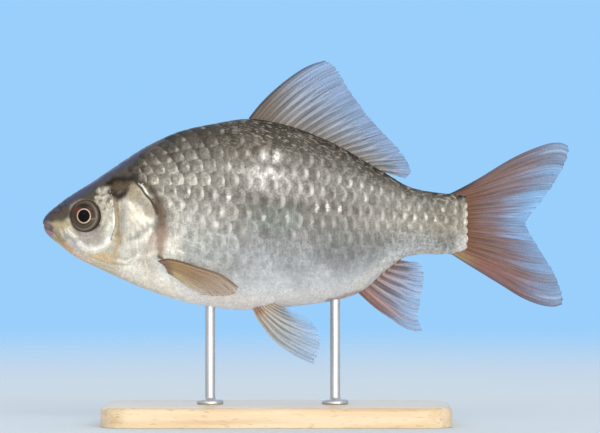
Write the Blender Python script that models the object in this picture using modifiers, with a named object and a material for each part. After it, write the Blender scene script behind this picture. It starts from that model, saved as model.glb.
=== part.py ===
"""Crucian carp, silver fork-tailed form, life size, as a still museum model on a display stand.

The fish faces -X with its tail towards +X and its back towards +Z. The origin lies on the
underside of the base, below the middle of the whole model. Short tables give the fish in
millimetres: a station runs from the tip of the snout to the tail, and a height is measured
from the axis of the body. Everything is built in metres.
"""

import math
import random

import bmesh
import bpy
import numpy as np
from mathutils import Vector

MM = 0.001

# Places of the fish above its base, the gap between pieces, and a span that clears the whole body
SNOUT_X = -78.75
AXIS_HEIGHT = 60.6
GAP = 0.3
WELD_DISTANCE = 0.001
CLEAR = 40
CREASE_DEGREES = 35

# Outline of the body: (station, height) of the back and belly, (station, half width)
BODY_LENGTH = 126.8
BACK = [
    (0, 0.3), (1.3, 2.4), (4, 4.8), (8.2, 8), (14.2, 11.7), (24.4, 18.6), (32, 23.4), (41, 27.5),
    (50, 29.5), (61.7, 31.2), (73.1, 29.2), (86.6, 24), (101.9, 15.3), (111.5, 10.2), (119, 8.9),
    (124, 8.2), (126.8, 6),
]
BELLY = [
    (0, -0.6), (0.5, -2.4), (3.4, -5.4), (9.5, -10.2), (18.5, -14.7), (27.5, -18.9), (36.5, -22.5),
    (45.5, -24.9), (60.5, -26.6), (77, -25.3), (90.5, -23.1), (95.5, -21), (104, -13.8),
    (108.5, -10.8), (114, -9.9), (120, -10), (124, -8.9), (126.8, -6),
]
HALF_WIDTH = [
    (0, 0.7), (1, 2.3), (3, 3.7), (6, 5), (10, 6.3), (14, 7.6), (20, 9.3), (28, 10.9), (38, 12.1),
    (50, 12.6), (62, 12.3), (75, 11), (86, 9.2), (98, 6.8), (108, 4.9), (117, 3.6), (123, 2.4),
    (126.8, 1.3),
]
WIDEST_HEIGHT = [(0, -0.3), (4, -1.6), (10, -2), (24, -1), (45, 0.5), (80, 0.3), (110, -0.5), (126.8, 0)]
ROUNDNESS_ABOVE = [(0, 2), (8, 2.3), (20, 2.4), (40, 2.05), (126.8, 2)]
ROUNDNESS_BELOW = [(0, 2), (8, 2.2), (45, 2.3), (126.8, 2.1)]
BODY_STATIONS = 44
BODY_RING = 32
SNOUT_CROWDING = 1.3
TAIL_CROWDING = 1.2

# Cuts that part the body, seen from the side: (station, height)
HEAD_REAR = [
    (28.6, 40), (28.6, 21), (27.9, 13.8), (32.3, 9.5), (35.3, 5.5), (35.9, 1.4), (35.1, -2.6),
    (33.2, -7), (29.8, -12), (25.5, -15.5), (21.5, -20), (20, -40),
]
JAW_TOP = [(-4, 0.93), (3.5, -3.62), (6.4, -6.1), (10.2, -8.9), (10.4, -16)]
TAIL_STEM_START = 109.3

# Gill cover: its front and rear edges from the bottom up, and how far it stands out
GILL_FRONT = [(21.8, -12.2), (22.1, -7.2), (22.7, -2.4), (22.5, 3.6), (23, 8.6)]
GILL_REAR = [(26.6, -12.3), (30.2, -9), (32.6, -4.6), (33.9, -0.4), (34, 3.6), (32.3, 7.6), (29.3, 10.9)]
GILL_TOP = [(23, 8.6), (25.4, 11.4), (29.3, 10.9)]
GILL_PROUD_FRONT = 0.1
GILL_PROUD_REAR = 0.65
GILL_DEPTH = 1.1
GILL_LOWER_BOW = 0.4
GILL_COLUMNS = 7
GILL_ROWS = 10

# Eyes
EYE_STATION = 12.6
EYE_HEIGHT = 1.8
EYE_RADIUS = 4.3
EYE_DEPTH_RADIUS = 2.8
EYE_BULGE = 1.1
ORBIT_RIM_RADIUS = 5.1
ORBIT_RIM_WIDTH = 0.9
ORBIT_RIM_THICKNESS = 0.5
RIM_TURNS = 18

# Mouth and nostrils
LIP_REACH = 3.1
LIP_HALF_SPAN = 2.95
LIP_HEIGHT = -1.5
LIP_DROP = 2
LIP_RADIUS = 0.95
LIP_TAPER = 0.6
LIP_SETBACK_UPPER = 0.9
LIP_SETBACK_LOWER = 1.25
LIP_POINTS = 11
NOSTRIL_STATION = 5.7
NOSTRIL_HEIGHT = 4.6
NOSTRIL_RADII = (0.55, 0.65)
NOSTRIL_SPACING = 1.7
NOSTRIL_RISE = 1
NOSTRIL_FLAP_RADII = (0.35, 0.6, 0.8)

# Stand
BASE_CENTRE_STATION = 70
BASE_LENGTH = 104
BASE_WIDTH = 54
BASE_THICKNESS = 6
BASE_CORNER = 9
BASE_EDGE = 1.2
ROD_STATIONS = {"stand_rod_front": 50, "stand_rod_rear": 87.5}
ROD_RADIUS = 1.5
ROD_FOOT_RADIUS = 4
ROD_FOOT_HEIGHT = 1.4


class Profile:
    """A smooth value along the body that never overshoots the few stations it is given at."""

    def __init__(self, table):
        self.at, self.value = np.array(table, dtype=float).T
        step = np.diff(self.at)
        rise = np.diff(self.value) / step
        slope = np.empty(len(self.at))
        slope[0] = rise[0]
        slope[-1] = rise[-1]
        slope[1:-1] = np.where(
            rise[:-1] * rise[1:] > 0,
            2 * rise[:-1] * rise[1:] / np.where(rise[:-1] + rise[1:] == 0, 1, rise[:-1] + rise[1:]),
            0,
        )
        self.slope = slope

    def __call__(self, station):
        station = min(max(station, self.at[0]), self.at[-1])
        i = min(int(np.searchsorted(self.at, station, side="right")) - 1, len(self.at) - 2)
        width = self.at[i + 1] - self.at[i]
        t = (station - self.at[i]) / width
        start = (1 + 2 * t) * (1 - t) ** 2 * self.value[i] + t * (1 - t) ** 2 * width * self.slope[i]
        end = t * t * (3 - 2 * t) * self.value[i + 1] + t * t * (t - 1) * width * self.slope[i + 1]
        return float(start + end)


class Path:
    """A smooth line through a few points, read by the share of its length that has passed."""

    def __init__(self, points):
        self.points = [np.array(p, dtype=float) for p in points]
        chords = [np.linalg.norm(b - a) for a, b in zip(self.points, self.points[1:])]
        self.at = np.concatenate([[0], np.cumsum(chords)])
        self.at = self.at / self.at[-1]

    def tangent(self, i):
        before = max(i - 1, 0)
        after = min(i + 1, len(self.points) - 1)
        return (self.points[after] - self.points[before]) / (self.at[after] - self.at[before])

    def __call__(self, share):
        i = min(int(np.searchsorted(self.at, share, side="right")) - 1, len(self.points) - 2)
        i = max(i, 0)
        width = self.at[i + 1] - self.at[i]
        t = (share - self.at[i]) / width
        return (
            (1 + 2 * t) * (1 - t) ** 2 * self.points[i]
            + t * (1 - t) ** 2 * width * self.tangent(i)
            + t * t * (3 - 2 * t) * self.points[i + 1]
            + t * t * (t - 1) * width * self.tangent(i + 1)
        )


back = Profile(BACK)
belly = Profile(BELLY)
half_width = Profile(HALF_WIDTH)
widest_height = Profile(WIDEST_HEIGHT)
roundness_above = Profile(ROUNDNESS_ABOVE)
roundness_below = Profile(ROUNDNESS_BELOW)


def place(station, side, height):
    """The world point of a place on the fish, all three given in millimetres."""
    return Vector(((SNOUT_X + station) * MM, side * MM, (AXIS_HEIGHT + height) * MM))


def side_depth(station, height):
    """How far the skin lies from the middle plane at a station and height."""
    middle = widest_height(station)
    if height > middle:
        reach = back(station) - middle
        power = roundness_above(station)
    else:
        reach = middle - belly(station)
        power = roundness_below(station)
    share = min(abs(height - middle) / reach, 1)
    return half_width(station) * (1 - share**power) ** (1 / power)


def skin_normal(station, height, side):
    """The outward direction of the skin on one side, at a station and height."""
    step = 0.5
    along = (side_depth(station + step, height) - side_depth(station - step, height)) / (2 * step)
    up = (side_depth(station, height + step) - side_depth(station, height - step)) / (2 * step)
    return Vector((-along, side, -up)).normalized()


def ring_point(station, turn, grow):
    """A point of the cross-section at a station, grown outwards by some millimetres."""
    middle = widest_height(station)
    angle = 2 * math.pi * turn
    across = math.cos(angle)
    up = math.sin(angle)
    above = up >= 0
    power = 2 / (roundness_above(station) if above else roundness_below(station))
    reach = back(station) - middle if above else middle - belly(station)
    side = (half_width(station) + grow) * math.copysign(abs(across) ** power, across)
    height = middle + (reach + grow) * math.copysign(abs(up) ** power, up)
    return side, height


def closed_mesh_object(name, bm, collection):
    """Turns a closed bmesh into a smooth-shaded object of one collection."""
    bmesh.ops.triangulate(bm, faces=bm.faces)
    bmesh.ops.recalc_face_normals(bm, faces=bm.faces)
    mesh = bpy.data.meshes.new(name)
    bm.to_mesh(mesh)
    bm.free()
    obj = bpy.data.objects.new(name, mesh)
    collection.objects.link(obj)
    return obj


def body_tube(name, collection, grow=0.0):
    """The whole body as a grid rolled up lengthwise and closed at both ends."""
    bm = bmesh.new()
    bmesh.ops.create_grid(bm, x_segments=BODY_STATIONS, y_segments=BODY_RING, size=0.5)
    for vert in bm.verts:
        along = 1 - (1 - (vert.co.x + 0.5) ** SNOUT_CROWDING) ** TAIL_CROWDING
        station = along * BODY_LENGTH
        side, height = ring_point(station, vert.co.y + 0.5, grow)
        end_shift = grow * (2 * along - 1)
        vert.co = place(station + end_shift, side, height)
    bmesh.ops.remove_doubles(bm, verts=bm.verts, dist=WELD_DISTANCE * MM)
    bmesh.ops.holes_fill(bm, edges=bm.edges)
    return closed_mesh_object(name, bm, collection)


def flat_prism(name, outline, collection):
    """A closed outline seen from the side, made into a slab across the whole fish."""
    bm = bmesh.new()
    verts = [bm.verts.new(place(s, -CLEAR, h)) for s, h in outline]
    face = bm.faces.new(verts)
    grown = bmesh.ops.extrude_face_region(bm, geom=[face])
    moved = [item for item in grown["geom"] if isinstance(item, bmesh.types.BMVert)]
    bmesh.ops.translate(bm, verts=moved, vec=(0, 2 * CLEAR * MM, 0))
    return closed_mesh_object(name, bm, collection)


def widened(outline, distance):
    """An anticlockwise outline whose every corner moves out by a distance."""
    points = [np.array(p, dtype=float) for p in outline]
    moved = []
    for i, point in enumerate(points):
        into = point - points[i - 1]
        out = points[(i + 1) % len(points)] - point
        into = into / np.linalg.norm(into)
        out = out / np.linalg.norm(out)
        normal = np.array([into[1] + out[1], -into[0] - out[0]])
        normal = normal / np.linalg.norm(normal)
        spread = max(normal @ np.array([into[1], -into[0]]), 0.5)
        moved.append(tuple(point + normal * distance / spread))
    return moved


def evaluated_copy(obj, name, collection):
    """A plain mesh object of what an object's modifiers or curve settings give."""
    graph = bpy.context.evaluated_depsgraph_get()
    mesh = bpy.data.meshes.new_from_object(obj.evaluated_get(graph))
    copy = bpy.data.objects.new(name, mesh)
    copy.matrix_world = obj.matrix_world
    collection.objects.link(copy)
    return copy


def square_up(obj, merge=0.0):
    """Turns a mesh object into triangles that face outwards, with its doubled corners merged."""
    bm = bmesh.new()
    bm.from_mesh(obj.data)
    if merge:
        bmesh.ops.remove_doubles(bm, verts=bm.verts, dist=merge * MM)
    bmesh.ops.triangulate(bm, faces=bm.faces)
    bmesh.ops.recalc_face_normals(bm, faces=bm.faces)
    bm.to_mesh(obj.data)
    bm.free()


def weld(bm):
    """Splits a mesh into triangles and drops those that a cut left without width."""
    bmesh.ops.triangulate(bm, faces=bm.faces)
    bmesh.ops.remove_doubles(bm, verts=bm.verts, dist=WELD_DISTANCE * MM)
    bmesh.ops.dissolve_degenerate(bm, edges=bm.edges, dist=WELD_DISTANCE * MM)
    bmesh.ops.holes_fill(bm, edges=bm.edges)
    bmesh.ops.triangulate(bm, faces=bm.faces)


def cut(target, operation, *tools):
    """Joins, cuts or keeps what a target shares with each tool, and applies the result."""
    for tool in tools:
        modifier = target.modifiers.new(operation.lower(), "BOOLEAN")
        modifier.operation = operation
        modifier.solver = "EXACT"
        modifier.object = tool
        graph = bpy.context.evaluated_depsgraph_get()
        mesh = bpy.data.meshes.new_from_object(target.evaluated_get(graph))
        target.modifiers.clear()
        bm = bmesh.new()
        bm.from_mesh(mesh)
        weld(bm)
        bm.to_mesh(mesh)
        bm.free()
        target.data = mesh
    return target


def duplicate(obj, name, collection):
    copy = bpy.data.objects.new(name, obj.data.copy())
    collection.objects.link(copy)
    return copy


def shell_volume(faces):
    """The volume inside one closed shell of triangles."""
    total = 0.0
    for face in faces:
        a, b, c = (vert.co for vert in face.verts)
        total += a.dot(b.cross(c)) / 6
    return abs(total)


def keep_largest_shell(obj):
    """Leaves only the largest of a cut mesh's closed surfaces."""
    bm = bmesh.new()
    bm.from_mesh(obj.data)
    left = set(bm.faces)
    shells = []
    while left:
        shell = {left.pop()}
        front = list(shell)
        while front:
            face = front.pop()
            for edge in face.edges:
                for other in edge.link_faces:
                    if other in left:
                        left.remove(other)
                        shell.add(other)
                        front.append(other)
        shells.append(shell)
    shells.sort(key=shell_volume, reverse=True)
    scraps = [face for shell in shells[1:] for face in shell]
    bmesh.ops.delete(bm, geom=scraps, context="FACES")
    loose = [vert for vert in bm.verts if not vert.link_faces]
    bmesh.ops.delete(bm, geom=loose, context="VERTS")
    bm.to_mesh(obj.data)
    bm.free()


def finish(obj, look):
    """Gives a node its material and smooth shading with sharp edges kept."""
    obj.data.materials.clear()
    obj.data.materials.append(look)
    obj.data.shade_smooth()
    obj.data.set_sharp_from_angle(angle=math.radians(CREASE_DEGREES))


def material(name, colour, roughness, metallic=0.0):
    """A plain Principled material from an sRGB colour."""
    linear = [((c + 0.055) / 1.055) ** 2.4 if c > 0.04045 else c / 12.92 for c in colour]
    made = bpy.data.materials.new(name)
    made.use_nodes = True
    shader = made.node_tree.nodes["Principled BSDF"]
    shader.inputs["Base Color"].default_value = (*linear, 1)
    shader.inputs["Roughness"].default_value = roughness
    shader.inputs["Metallic"].default_value = metallic
    return made


def bent_tube(name, points, radii, collection):
    """A tube with closed ends along a list of world points, as a mesh."""
    curve = bpy.data.curves.new(name, "CURVE")
    curve.dimensions = "3D"
    curve.bevel_depth = 1.0
    curve.bevel_resolution = 2
    curve.use_fill_caps = True
    spline = curve.splines.new("POLY")
    spline.points.add(len(points) - 1)
    for point, spot, radius in zip(spline.points, points, radii):
        point.co = (*spot, 1)
        point.radius = radius * MM
    guide = bpy.data.objects.new(name + "_guide", curve)
    collection.objects.link(guide)
    bpy.context.view_layer.update()
    tube = evaluated_copy(guide, name, collection)
    bpy.data.objects.remove(guide)
    square_up(tube, WELD_DISTANCE)
    return tube


def ball(name, centre, radii, outward, collection, rings=10, segments=20):
    """A ball with one radius along the skin, one out of it and one up, its poles facing out."""
    turn = Vector((0, 1, 0)).rotation_difference(outward)
    bm = bmesh.new()
    bmesh.ops.create_uvsphere(bm, u_segments=segments, v_segments=rings, radius=1)
    for vert in bm.verts:
        stretched = Vector((vert.co.x * radii[0], vert.co.z * radii[1], -vert.co.y * radii[2]))
        stretched.rotate(turn)
        vert.co = centre + stretched * MM
    return closed_mesh_object(name, bm, collection)


def lip(name, raised, collection):
    """One lip: a tube round the front of the mouth from corner to corner."""
    points = []
    radii = []
    for i in range(LIP_POINTS):
        angle = math.pi * (i / (LIP_POINTS - 1) - 0.5)
        bend = 1 - math.cos(angle)
        height = LIP_HEIGHT - LIP_DROP * bend + raised * (LIP_RADIUS + GAP / 2)
        setback = LIP_SETBACK_UPPER if raised > 0 else LIP_SETBACK_LOWER
        points.append(place(LIP_REACH * bend + setback, LIP_HALF_SPAN * math.sin(angle), height))
        radii.append(LIP_RADIUS * (1 - LIP_TAPER * bend))
    return bent_tube(name, points, radii, collection)


def nostril_cutters(side, collection):
    """Two pits beside each other, the front one smaller."""
    pits = []
    for i, radius in enumerate(NOSTRIL_RADII):
        station = NOSTRIL_STATION + (i - 0.5) * NOSTRIL_SPACING
        height = NOSTRIL_HEIGHT + (i - 0.5) * NOSTRIL_RISE
        centre = place(station, side * side_depth(station, height), height)
        outward = skin_normal(station, height, side)
        pits.append(ball(f"nostril_pit_{i}_{side}", centre, [radius] * 3, outward, collection, 5, 8))
    return pits


def nostril_flap(side, collection):
    """The small upright flap of skin between the two openings."""
    depth = side_depth(NOSTRIL_STATION, NOSTRIL_HEIGHT)
    centre = place(NOSTRIL_STATION, side * depth, NOSTRIL_HEIGHT)
    outward = skin_normal(NOSTRIL_STATION, NOSTRIL_HEIGHT, side)
    return ball(f"nostril_flap_{side}", centre, NOSTRIL_FLAP_RADII, outward, collection, 5, 8)


def orbit_rim(side, collection):
    """The low ring of skin round the eye."""
    bm = bmesh.new()
    bmesh.ops.create_grid(bm, x_segments=RIM_TURNS, y_segments=4, size=0.5)
    for vert in bm.verts:
        angle = 2 * math.pi * (vert.co.x + 0.5)
        round_rim = 2 * math.pi * (vert.co.y + 0.5)
        away = ORBIT_RIM_RADIUS + ORBIT_RIM_WIDTH * math.cos(round_rim)
        station = EYE_STATION + away * math.cos(angle)
        height = EYE_HEIGHT + away * math.sin(angle)
        lift = skin_normal(station, height, side) * ORBIT_RIM_THICKNESS * math.sin(round_rim) * MM
        vert.co = place(station, side * side_depth(station, height), height) + lift
    bmesh.ops.remove_doubles(bm, verts=bm.verts, dist=WELD_DISTANCE * MM)
    return closed_mesh_object(f"orbit_rim_{side}", bm, collection)


def eyeball(name, side, collection, grow=0.0):
    """A flattened ball that stands a little out of the head, square to the skin."""
    outward = skin_normal(EYE_STATION, EYE_HEIGHT, side)
    skin = place(EYE_STATION, side * side_depth(EYE_STATION, EYE_HEIGHT), EYE_HEIGHT)
    centre = skin + outward * (EYE_BULGE - EYE_DEPTH_RADIUS) * MM
    radii = (EYE_RADIUS + grow, EYE_DEPTH_RADIUS + grow, EYE_RADIUS + grow)
    return ball(name, centre, radii, outward, collection)


def patch_point(low, high, left, right, u, v):
    """A point of the smooth patch between four edges that share their corners."""
    straight_u = (1 - u) * left(0) + u * right(0)
    straight_v = (1 - u) * left(1) + u * right(1)
    across = (1 - v) * low(u) + v * high(u)
    along = (1 - u) * left(v) + u * right(v)
    return across + along - (1 - v) * straight_u - v * straight_v


def gill_plate(name, side, collection, spread, inner, cutter_reach=0.0):
    """A shell over the gills, spread past its edges, from a depth under the skin outwards."""
    bottom_front = np.array(GILL_FRONT[0], dtype=float)
    bottom_rear = np.array(GILL_REAR[0], dtype=float)
    low = Path([bottom_front, (bottom_front + bottom_rear) / 2 - (0, GILL_LOWER_BOW), bottom_rear])
    high = Path(GILL_TOP)
    left = Path(GILL_FRONT)
    right = Path(GILL_REAR)
    middle = (left(0.5) + right(0.5)) / 2
    bm = bmesh.new()
    bmesh.ops.create_grid(bm, x_segments=GILL_COLUMNS, y_segments=GILL_ROWS, size=0.5)
    for vert in bm.verts:
        u = vert.co.x + 0.5
        v = vert.co.y + 0.5
        spot = patch_point(low, high, left, right, u, v)
        away = spot - middle
        edge = np.array([abs(2 * u - 1) ** 4, abs(2 * v - 1) ** 4])
        spot = spot + spread * np.sign(away) * edge
        vert.co = place(spot[0], side * (side_depth(*spot) - inner), spot[1])
    grown = bmesh.ops.extrude_face_region(bm, geom=bm.faces[:])
    moved = [item for item in grown["geom"] if isinstance(item, bmesh.types.BMVert)]
    front = GILL_FRONT[2][0]
    length = GILL_REAR[3][0] - front
    for vert in moved:
        share = min(max((vert.co.x / MM - SNOUT_X - front) / length, 0), 1)
        proud = GILL_PROUD_FRONT + (GILL_PROUD_REAR - GILL_PROUD_FRONT) * share
        vert.co.y += side * (inner + proud + cutter_reach) * MM
    return closed_mesh_object(name, bm, collection)


# Fins: (station, height) along the edge nearest the head or outermost, along the free margin
# from the tip on, and along the last ray. "side" gives how far from the middle plane a paired fin
# lies: the first and last ray at the root, then at the margin. "sink" leads the root into the body
FINS = {
    "dorsal_fin": {
        "lead": [(61.4, 31), (65.5, 36), (71.2, 41.3), (77, 45.5), (80.8, 47.4), (84.3, 48.5)],
        "margin": [
            (84.3, 48.5), (86.5, 47.4), (88.9, 44.3), (92.3, 38.6), (99.2, 29.6), (103.8, 24.8),
            (107.3, 21), (109.5, 17.2), (110.1, 14.9), (108.4, 13.1),
        ],
        "trail": [(102.8, 14.7), (108.4, 13.1)],
        "root": [(61.4, 31), (73.1, 29), (86.6, 23.8), (95, 19.2), (102.8, 14.7)],
        "sink": (0, 0, -2.2),
        "lag": 1.1,
    },
    "tail_fin_upper": {
        "lead": [
            (121.5, 8.3), (125.1, 10.1), (130.2, 12.9), (141.5, 19.6), (150.6, 23.3), (155, 23.8),
            (157.3, 22.9),
        ],
        "margin": [
            (157.3, 22.9), (157.5, 21.1), (155.3, 15.3), (149.9, 6.9), (146.9, 3.2), (144.7, 0.15),
        ],
        "trail": [(126, 0.15), (144.7, 0.15)],
        "root": [(121.5, 8.3), (125.6, 6.4), (126, 3), (126, 0.15)],
        "sink": (-2.2, 0, 0),
        "lag": 0.8,
    },
    "tail_fin_lower": {
        "lead": [
            (121.9, -9.4), (127.3, -12.8), (137.9, -19.3), (143.3, -22.6), (148.7, -24.8),
            (153.1, -25.4), (155.3, -24.8),
        ],
        "margin": [
            (155.3, -24.8), (155.7, -22.2), (153.1, -15.3), (148, -6.9), (145.9, -3.3),
            (144.5, -0.15),
        ],
        "trail": [(126, -0.15), (144.5, -0.15)],
        "root": [(121.9, -9.4), (125.6, -6.4), (126, -3), (126, -0.15)],
        "sink": (-2.2, 0, 0),
        "lag": 0.8,
    },
    "anal_fin": {
        "lead": [
            (94.4, -21.3), (99.5, -25.8), (104.7, -29.4), (107.5, -31.3), (111.3, -32.8),
            (113.4, -32.8),
        ],
        "margin": [
            (113.4, -32.8), (112.4, -28.5), (113.8, -19.1), (114, -14.6), (112.6, -12.2),
            (110, -11.9),
        ],
        "trail": [(107.3, -11.4), (110, -11.9)],
        "root": [(94.4, -21.3), (100, -17.4), (104, -13.9), (107.3, -11.4)],
        "sink": (0, 0, 2),
        "lag": 1.0,
    },
    "pelvic_fin": {
        "lead": [(62.7, -25.9), (65, -30.2), (69.6, -35.7), (75.5, -39.7), (79.1, -41.4), (81, -42.2)],
        "margin": [(81, -42.2), (82.7, -38.5), (82.1, -32.6), (80.2, -30), (75.9, -26.9), (73.8, -26.4)],
        "trail": [(69.4, -24.3), (73.8, -26.4)],
        "root": [(62.7, -25.9), (69.4, -24.3)],
        "sink": (0.6, -1.2, 2.4),
        "side": (3.2, 5, 12.5, 8.5),
        "swell": 2.4,
        "lag": 1.0,
    },
    "pectoral_fin": {
        "lead": [(34.4, -11.5), (38.5, -11.1), (48.4, -13.8), (53, -15.2), (56.5, -17.3), (58.6, -19.1)],
        "margin": [(58.6, -19.1), (57.4, -21.2), (53, -21.9), (47.2, -21.4)],
        "trail": [(38.1, -15.2), (41.1, -17.3), (43.9, -19.6), (47.2, -21.4)],
        "root": [(34.4, -11.5), (36.6, -13), (38.1, -15.2)],
        "sink": (-1.6, -2, 0),
        "side": (10.3, 9.7, 17, 13.5),
        "swell": 2.4,
        "lag": 1.0,
    },
}
# Rays of each fin, and the rows of faces from its root to its margin
RAYS = {
    "dorsal_fin": 20, "tail_fin_upper": 10, "tail_fin_lower": 10, "anal_fin": 8, "pelvic_fin": 9,
    "pectoral_fin": 11,
}
FIN_ROWS = {
    "dorsal_fin": 6, "tail_fin_upper": 7, "tail_fin_lower": 7, "anal_fin": 5, "pelvic_fin": 5,
    "pectoral_fin": 5,
}
SPINY = ("dorsal_fin", "anal_fin")
MEMBRANE_THICKNESS = 0.52
RAY_THICKNESS = 1.15
SPINE_THICKNESS = 1.7
RAY_HALF_WIDTH = 0.27
RAY_UNEVENNESS = 0.1
MARGIN_NOTCH = 0.35


def ray_columns(kind):
    """Where the crests and feet of the rays stand across a fin, each with its height share."""
    draw = random.Random(kind)
    count = RAYS[kind]
    spacing = 1 / (count - 1)
    columns = []
    for ray in range(count):
        edge = ray in (0, count - 1)
        middle = ray * spacing + (0 if edge else draw.uniform(-RAY_UNEVENNESS, RAY_UNEVENNESS) * spacing)
        height = draw.uniform(0.85, 1)
        if ray > 0:
            columns.append((middle - RAY_HALF_WIDTH * spacing, 0))
        columns.append((middle, height))
        if ray < count - 1:
            columns.append((middle + RAY_HALF_WIDTH * spacing, 0))
    return columns


def fin_point(shape, side, u, v):
    """A point of a fin's middle sheet: u runs across the rays and v from root to margin."""
    root = Path(shape["root"])
    margin = Path(shape["margin"])
    lead = Path(shape["lead"])
    trail = Path(shape["trail"])
    station, height = patch_point(root, lambda share: margin(share ** shape["lag"]), lead, trail, u, v)
    if not side:
        return station, 0.0, height
    root_side, last_root_side, tip_side, last_side = shape["side"]
    start = (1 - u) * root_side + u * last_root_side
    end = (1 - u) * tip_side + u * last_side
    return station, side * ((1 - v) * start + v * end + shape["swell"] * v * (1 - v)), height


def fin(name, kind, side, collection, body_cutter):
    """One fin: rays raised in the surface of a thin sheet, rooted in the body and cut clear of it."""
    shape = FINS[kind]
    sink = shape["sink"]
    columns = ray_columns(kind)
    rows = FIN_ROWS[kind]
    length = np.linalg.norm(np.array(shape["lead"][-1]) - np.array(shape["lead"][0]))
    thickest = SPINE_THICKNESS if kind in SPINY else RAY_THICKNESS
    bm = bmesh.new()
    bmesh.ops.create_grid(bm, x_segments=len(columns) - 1, y_segments=rows, size=0.5)
    groups = bm.verts.layers.deform.verify()
    for vert in bm.verts:
        column = round((vert.co.x + 0.5) * (len(columns) - 1))
        row = round((vert.co.y + 0.5) * rows)
        u, height_share = columns[column]
        v = max(row - 1, 0) / (rows - 1)
        thickness = MEMBRANE_THICKNESS
        if height_share:
            full = thickest if column == 0 else RAY_THICKNESS * height_share
            thickness = full + (MEMBRANE_THICKNESS - full) * v**1.5
        elif row == rows:
            v = 1 - MARGIN_NOTCH / length
        station, out, height = fin_point(shape, side, u, v)
        if row == 0:
            station, out, height = station + sink[0], out + side * sink[1], height + sink[2]
        vert.co = place(station, out, height)
        vert[groups][0] = (thickness - MEMBRANE_THICKNESS) / (thickest - MEMBRANE_THICKNESS)
    bmesh.ops.triangulate(bm, faces=bm.faces)
    mesh = bpy.data.meshes.new(name)
    bm.to_mesh(mesh)
    bm.free()
    sheet = bpy.data.objects.new(name + "_sheet", mesh)
    sheet.vertex_groups.new(name="rays")
    collection.objects.link(sheet)
    wall = sheet.modifiers.new("wall", "SOLIDIFY")
    wall.thickness = thickest * MM
    wall.offset = 0
    wall.vertex_group = "rays"
    wall.thickness_vertex_group = MEMBRANE_THICKNESS / thickest
    solid = evaluated_copy(sheet, name, collection)
    bpy.data.objects.remove(sheet)
    square_up(solid)
    cut(solid, "DIFFERENCE", body_cutter)
    keep_largest_shell(solid)
    return solid


def stand_base(collection):
    """A flat board with round corners and a softened rim."""
    bm = bmesh.new()
    bmesh.ops.create_cube(bm, size=1)
    bmesh.ops.scale(bm, verts=bm.verts, vec=(BASE_LENGTH * MM, BASE_WIDTH * MM, BASE_THICKNESS * MM))
    centre = (SNOUT_X + BASE_CENTRE_STATION) * MM
    bmesh.ops.translate(bm, verts=bm.verts, vec=(centre, 0, BASE_THICKNESS / 2 * MM))
    upright = [e for e in bm.edges if abs(e.verts[0].co.z - e.verts[1].co.z) > BASE_EDGE * MM]
    bmesh.ops.bevel(
        bm, geom=upright, offset=BASE_CORNER * MM, segments=6, profile=0.5, affect="EDGES", material=-1
    )
    top = BASE_THICKNESS * MM
    rim = [e for e in bm.edges if all(abs(v.co.z - top) < WELD_DISTANCE * MM for v in e.verts)]
    bmesh.ops.bevel(
        bm, geom=rim, offset=BASE_EDGE * MM, segments=2, profile=0.5, affect="EDGES", material=-1
    )
    return closed_mesh_object("stand_base", bm, collection)


def stand_rod(name, station, collection, body_cutter):
    """A turned rod with a small foot, its top fitted to the belly."""
    foot = BASE_THICKNESS + GAP
    reach = AXIS_HEIGHT + belly(station) + 3
    profile = [
        (0, foot), (ROD_FOOT_RADIUS, foot), (ROD_FOOT_RADIUS, foot + ROD_FOOT_HEIGHT * 0.6),
        (ROD_FOOT_RADIUS * 0.8, foot + ROD_FOOT_HEIGHT), (ROD_RADIUS, foot + ROD_FOOT_HEIGHT * 1.5),
        (ROD_RADIUS, reach), (0, reach),
    ]
    bm = bmesh.new()
    axis_x = (SNOUT_X + station) * MM
    verts = [bm.verts.new((axis_x + r * MM, 0, z * MM)) for r, z in profile]
    edges = [bm.edges.new(pair) for pair in zip(verts, verts[1:])]
    bmesh.ops.spin(
        bm, geom=verts + edges, cent=(axis_x, 0, 0), axis=(0, 0, 1), angle=2 * math.pi, steps=24,
        use_merge=True,
    )
    bmesh.ops.remove_doubles(bm, verts=bm.verts, dist=WELD_DISTANCE * MM)
    rod = closed_mesh_object(name, bm, collection)
    cut(rod, "DIFFERENCE", body_cutter)
    keep_largest_shell(rod)
    return rod


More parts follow.
